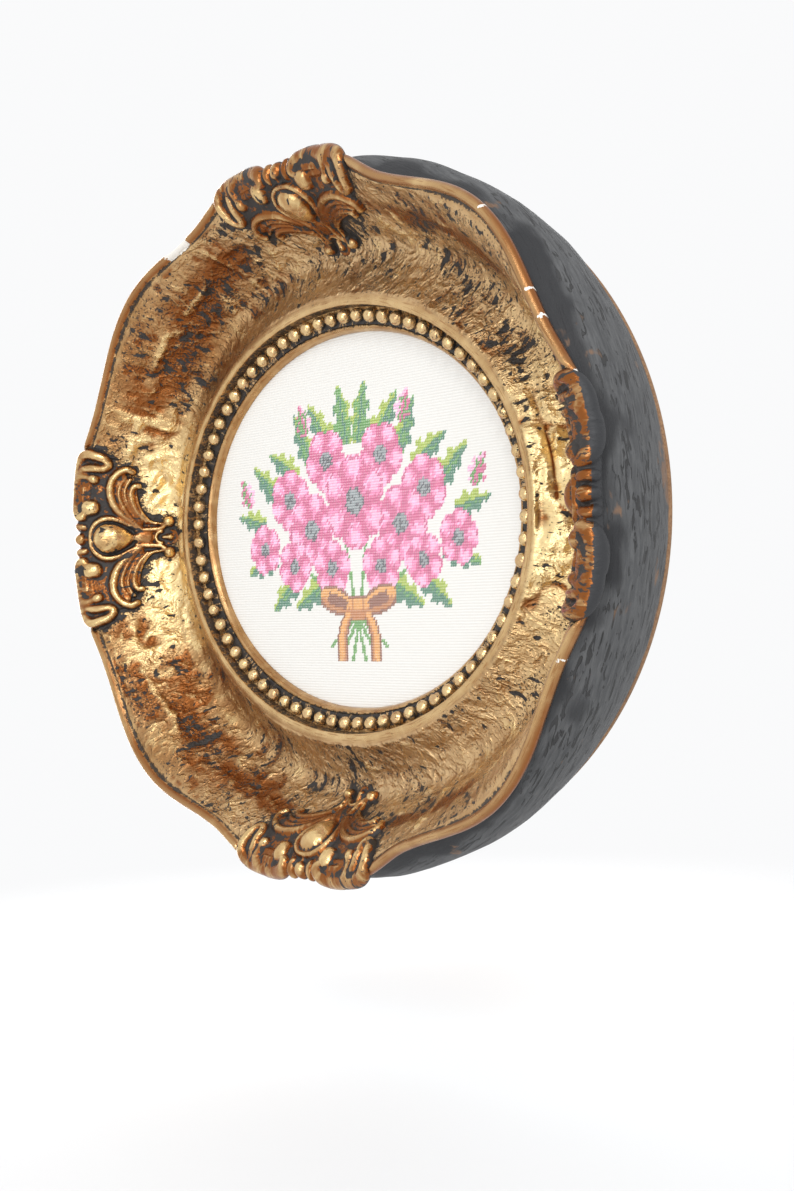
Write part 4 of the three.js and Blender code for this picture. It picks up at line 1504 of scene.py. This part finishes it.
def stitches():
    """One lozenge of wool on every dyed crossing of the chart."""
    rng = np.random.default_rng(71)
    wide, tall = np.nonzero(chart != BARE)
    count = len(wide)
    x, z = chart_x[wide, tall], chart_z[wide, tall]
    lean = math.radians(47) + rng.normal(0, 0.07, count)
    length = STITCH_LONG * rng.uniform(0.93, 1.04, count)
    points = []
    for share, plump in STITCH_ROWS:
        forward = (share - 0.5) * length
        ring = [(0, 0)] if plump == 0 else [(1, 0), (0, 1), (-1, 0), (0, -0.8)]
        for aside, lifted in ring:
            side_way = aside * plump * STITCH_WIDE / 2
            px = x + forward * np.cos(lean) - side_way * np.sin(lean)
            pz = z + forward * np.sin(lean) + side_way * np.cos(lean)
            out = canvas_depth(px, pz) - 0.05 + lifted * plump * STITCH_HIGH
            points.append(np.stack([px, -out, pz], -1))
    per = len(points)
    points = np.stack(points, 1).reshape(-1, 3)
    pattern = []
    for k in range(4):
        n = (k + 1) % 4
        pattern += [(0, 1 + n, 1 + k), (1 + k, 1 + n, 5 + n), (1 + k, 5 + n, 5 + k)]
        pattern += [(5 + k, 5 + n, 9 + n), (5 + k, 9 + n, 9 + k), (13, 9 + k, 9 + n)]
    faces = (np.array(pattern)[None] + per * np.arange(count)[:, None, None]).reshape(-1, 3)
    dyes = np.array([seen(*colour) for colour in YARNS.values()])
    shade = np.clip(dyes[chart[wide, tall]] * rng.uniform(1.02, 1.22, (count, 1)), 0, 1)
    numbers = {"yarn": np.repeat(shade, per, 0)}
    return make_piece("stitches", points, faces, yarn_finish(), numbers, smooth=180)


stitched_posy = stitches()

# %% [markdown]
# ## Light and floor
# The picture was taken in a bright room, so the light is nearly even, and a pale world does most
# of it. Gilding also needs things to mirror, so three soft panels stand round it: one high at
# the right for the long highlights, a window beside the camera that lights the scoop from the
# front, and a glow from behind for the left side of the moulding.

# %% Light and colour
WORLD_TONE, WORLD_STRENGTH = (0.99, 0.993, 1.0, 1.0), 0.965
world = bpy.data.worlds.new("pale_room")
world.use_nodes = True
background = world.node_tree.nodes["Background"]
background.inputs["Color"].default_value = WORLD_TONE
background.inputs["Strength"].default_value = WORLD_STRENGTH
bpy.context.scene.world = world
bpy.context.scene.view_settings.view_transform = "Standard"


def soft_panel(name, place, size, power):
    """A panel of light that faces the middle of the frame."""
    light = bpy.data.lights.new(name, "AREA")
    light.shape = "RECTANGLE"
    light.size, light.size_y = size
    light.energy = power
    lamp = bpy.data.objects.new(name, light)
    lamp.location = place
    lamp.rotation_euler = lamp.location.to_track_quat("Z", "Y").to_euler()
    lamp.visible_camera = False
    bpy.context.scene.collection.objects.link(lamp)
    print(f"{name}: {power:.0f} watts, {size[0]} by {size[1]} m")


soft_panel("key_panel", (1.35, -0.95, 1.1), (0.7, 0.7), 13.0)
soft_panel("window_panel", (0.95, -1.42, -0.1), (0.45, 0.8), 5.0)
soft_panel("back_panel", (-1.3, 0.8, 0.1), (1.5, 1.5), 44.0)

# %% [markdown]
# ### The floor
# The floor is plain and pale, and lies below the frame. It fades out with distance, so that no
# horizon crosses the picture.

# %% The floor
FLOOR_HALF, FLOOR_Z = 3.0, -0.26
FADE_FROM, FADE_TO = 150.0, 560.0  # mm from the middle
floor_mesh = bpy.data.meshes.new("floor")
floor_corners = [(-1, -1), (1, -1), (1, 1), (-1, 1)]
floor_mesh.from_pydata(
    [(x * FLOOR_HALF, y * FLOOR_HALF, FLOOR_Z) for x, y in floor_corners], [], [(0, 1, 2, 3)]
)
floor = bpy.data.objects.new("floor", floor_mesh)
bpy.context.scene.collection.objects.link(floor)
floor_finish = Finish("pale_floor")
floor_place = floor_finish.place((1.0, 1.0, 0.0))
floor_cloud = floor_finish.noise(floor_place, 0.004, 2.0, 0.5)
floor_tone = floor_finish.blend(floor_cloud, (0.70, 0.705, 0.71), (0.72, 0.725, 0.73))
floor_away = floor_finish.node("VectorMath", {"operation": "LENGTH"}, {0: floor_place}, 1)
floor_shown = 1.0 - floor_away.step(FADE_FROM, FADE_TO)
floor_mesh.materials.append(
    floor_finish.wear(base_color=floor_tone, roughness=0.8, alpha=floor_shown)
)
print(f"floor {-FLOOR_Z} m below the middle of the frame")

# %% [markdown]
# ## Which piece stands for which part
# Each dressed piece takes the place of a part of the measured model and rides with it.

# %% Places of the pieces
STANDS_FOR = [
    (gilt_face, "frame_body", "gilt_frame"),
    (painted_body, "frame_body", "gilt_frame"),
    (bead_moulding, "bead_run", "gilt_beads"),
    (backing_piece, "backing_board", "backing_board"),
    (canvas_piece, "needlework", "needlework"),
    (stitched_posy, "needlework", "needlework"),
] + [(leaf_ornaments[name], node, "gilt_ornament") for name, (node, *_) in ORNAMENTS.items()]
for piece, node, slot in STANDS_FOR:
    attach(piece, "root")
    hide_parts(node)
    print(f"{piece.name} stands for {node}")
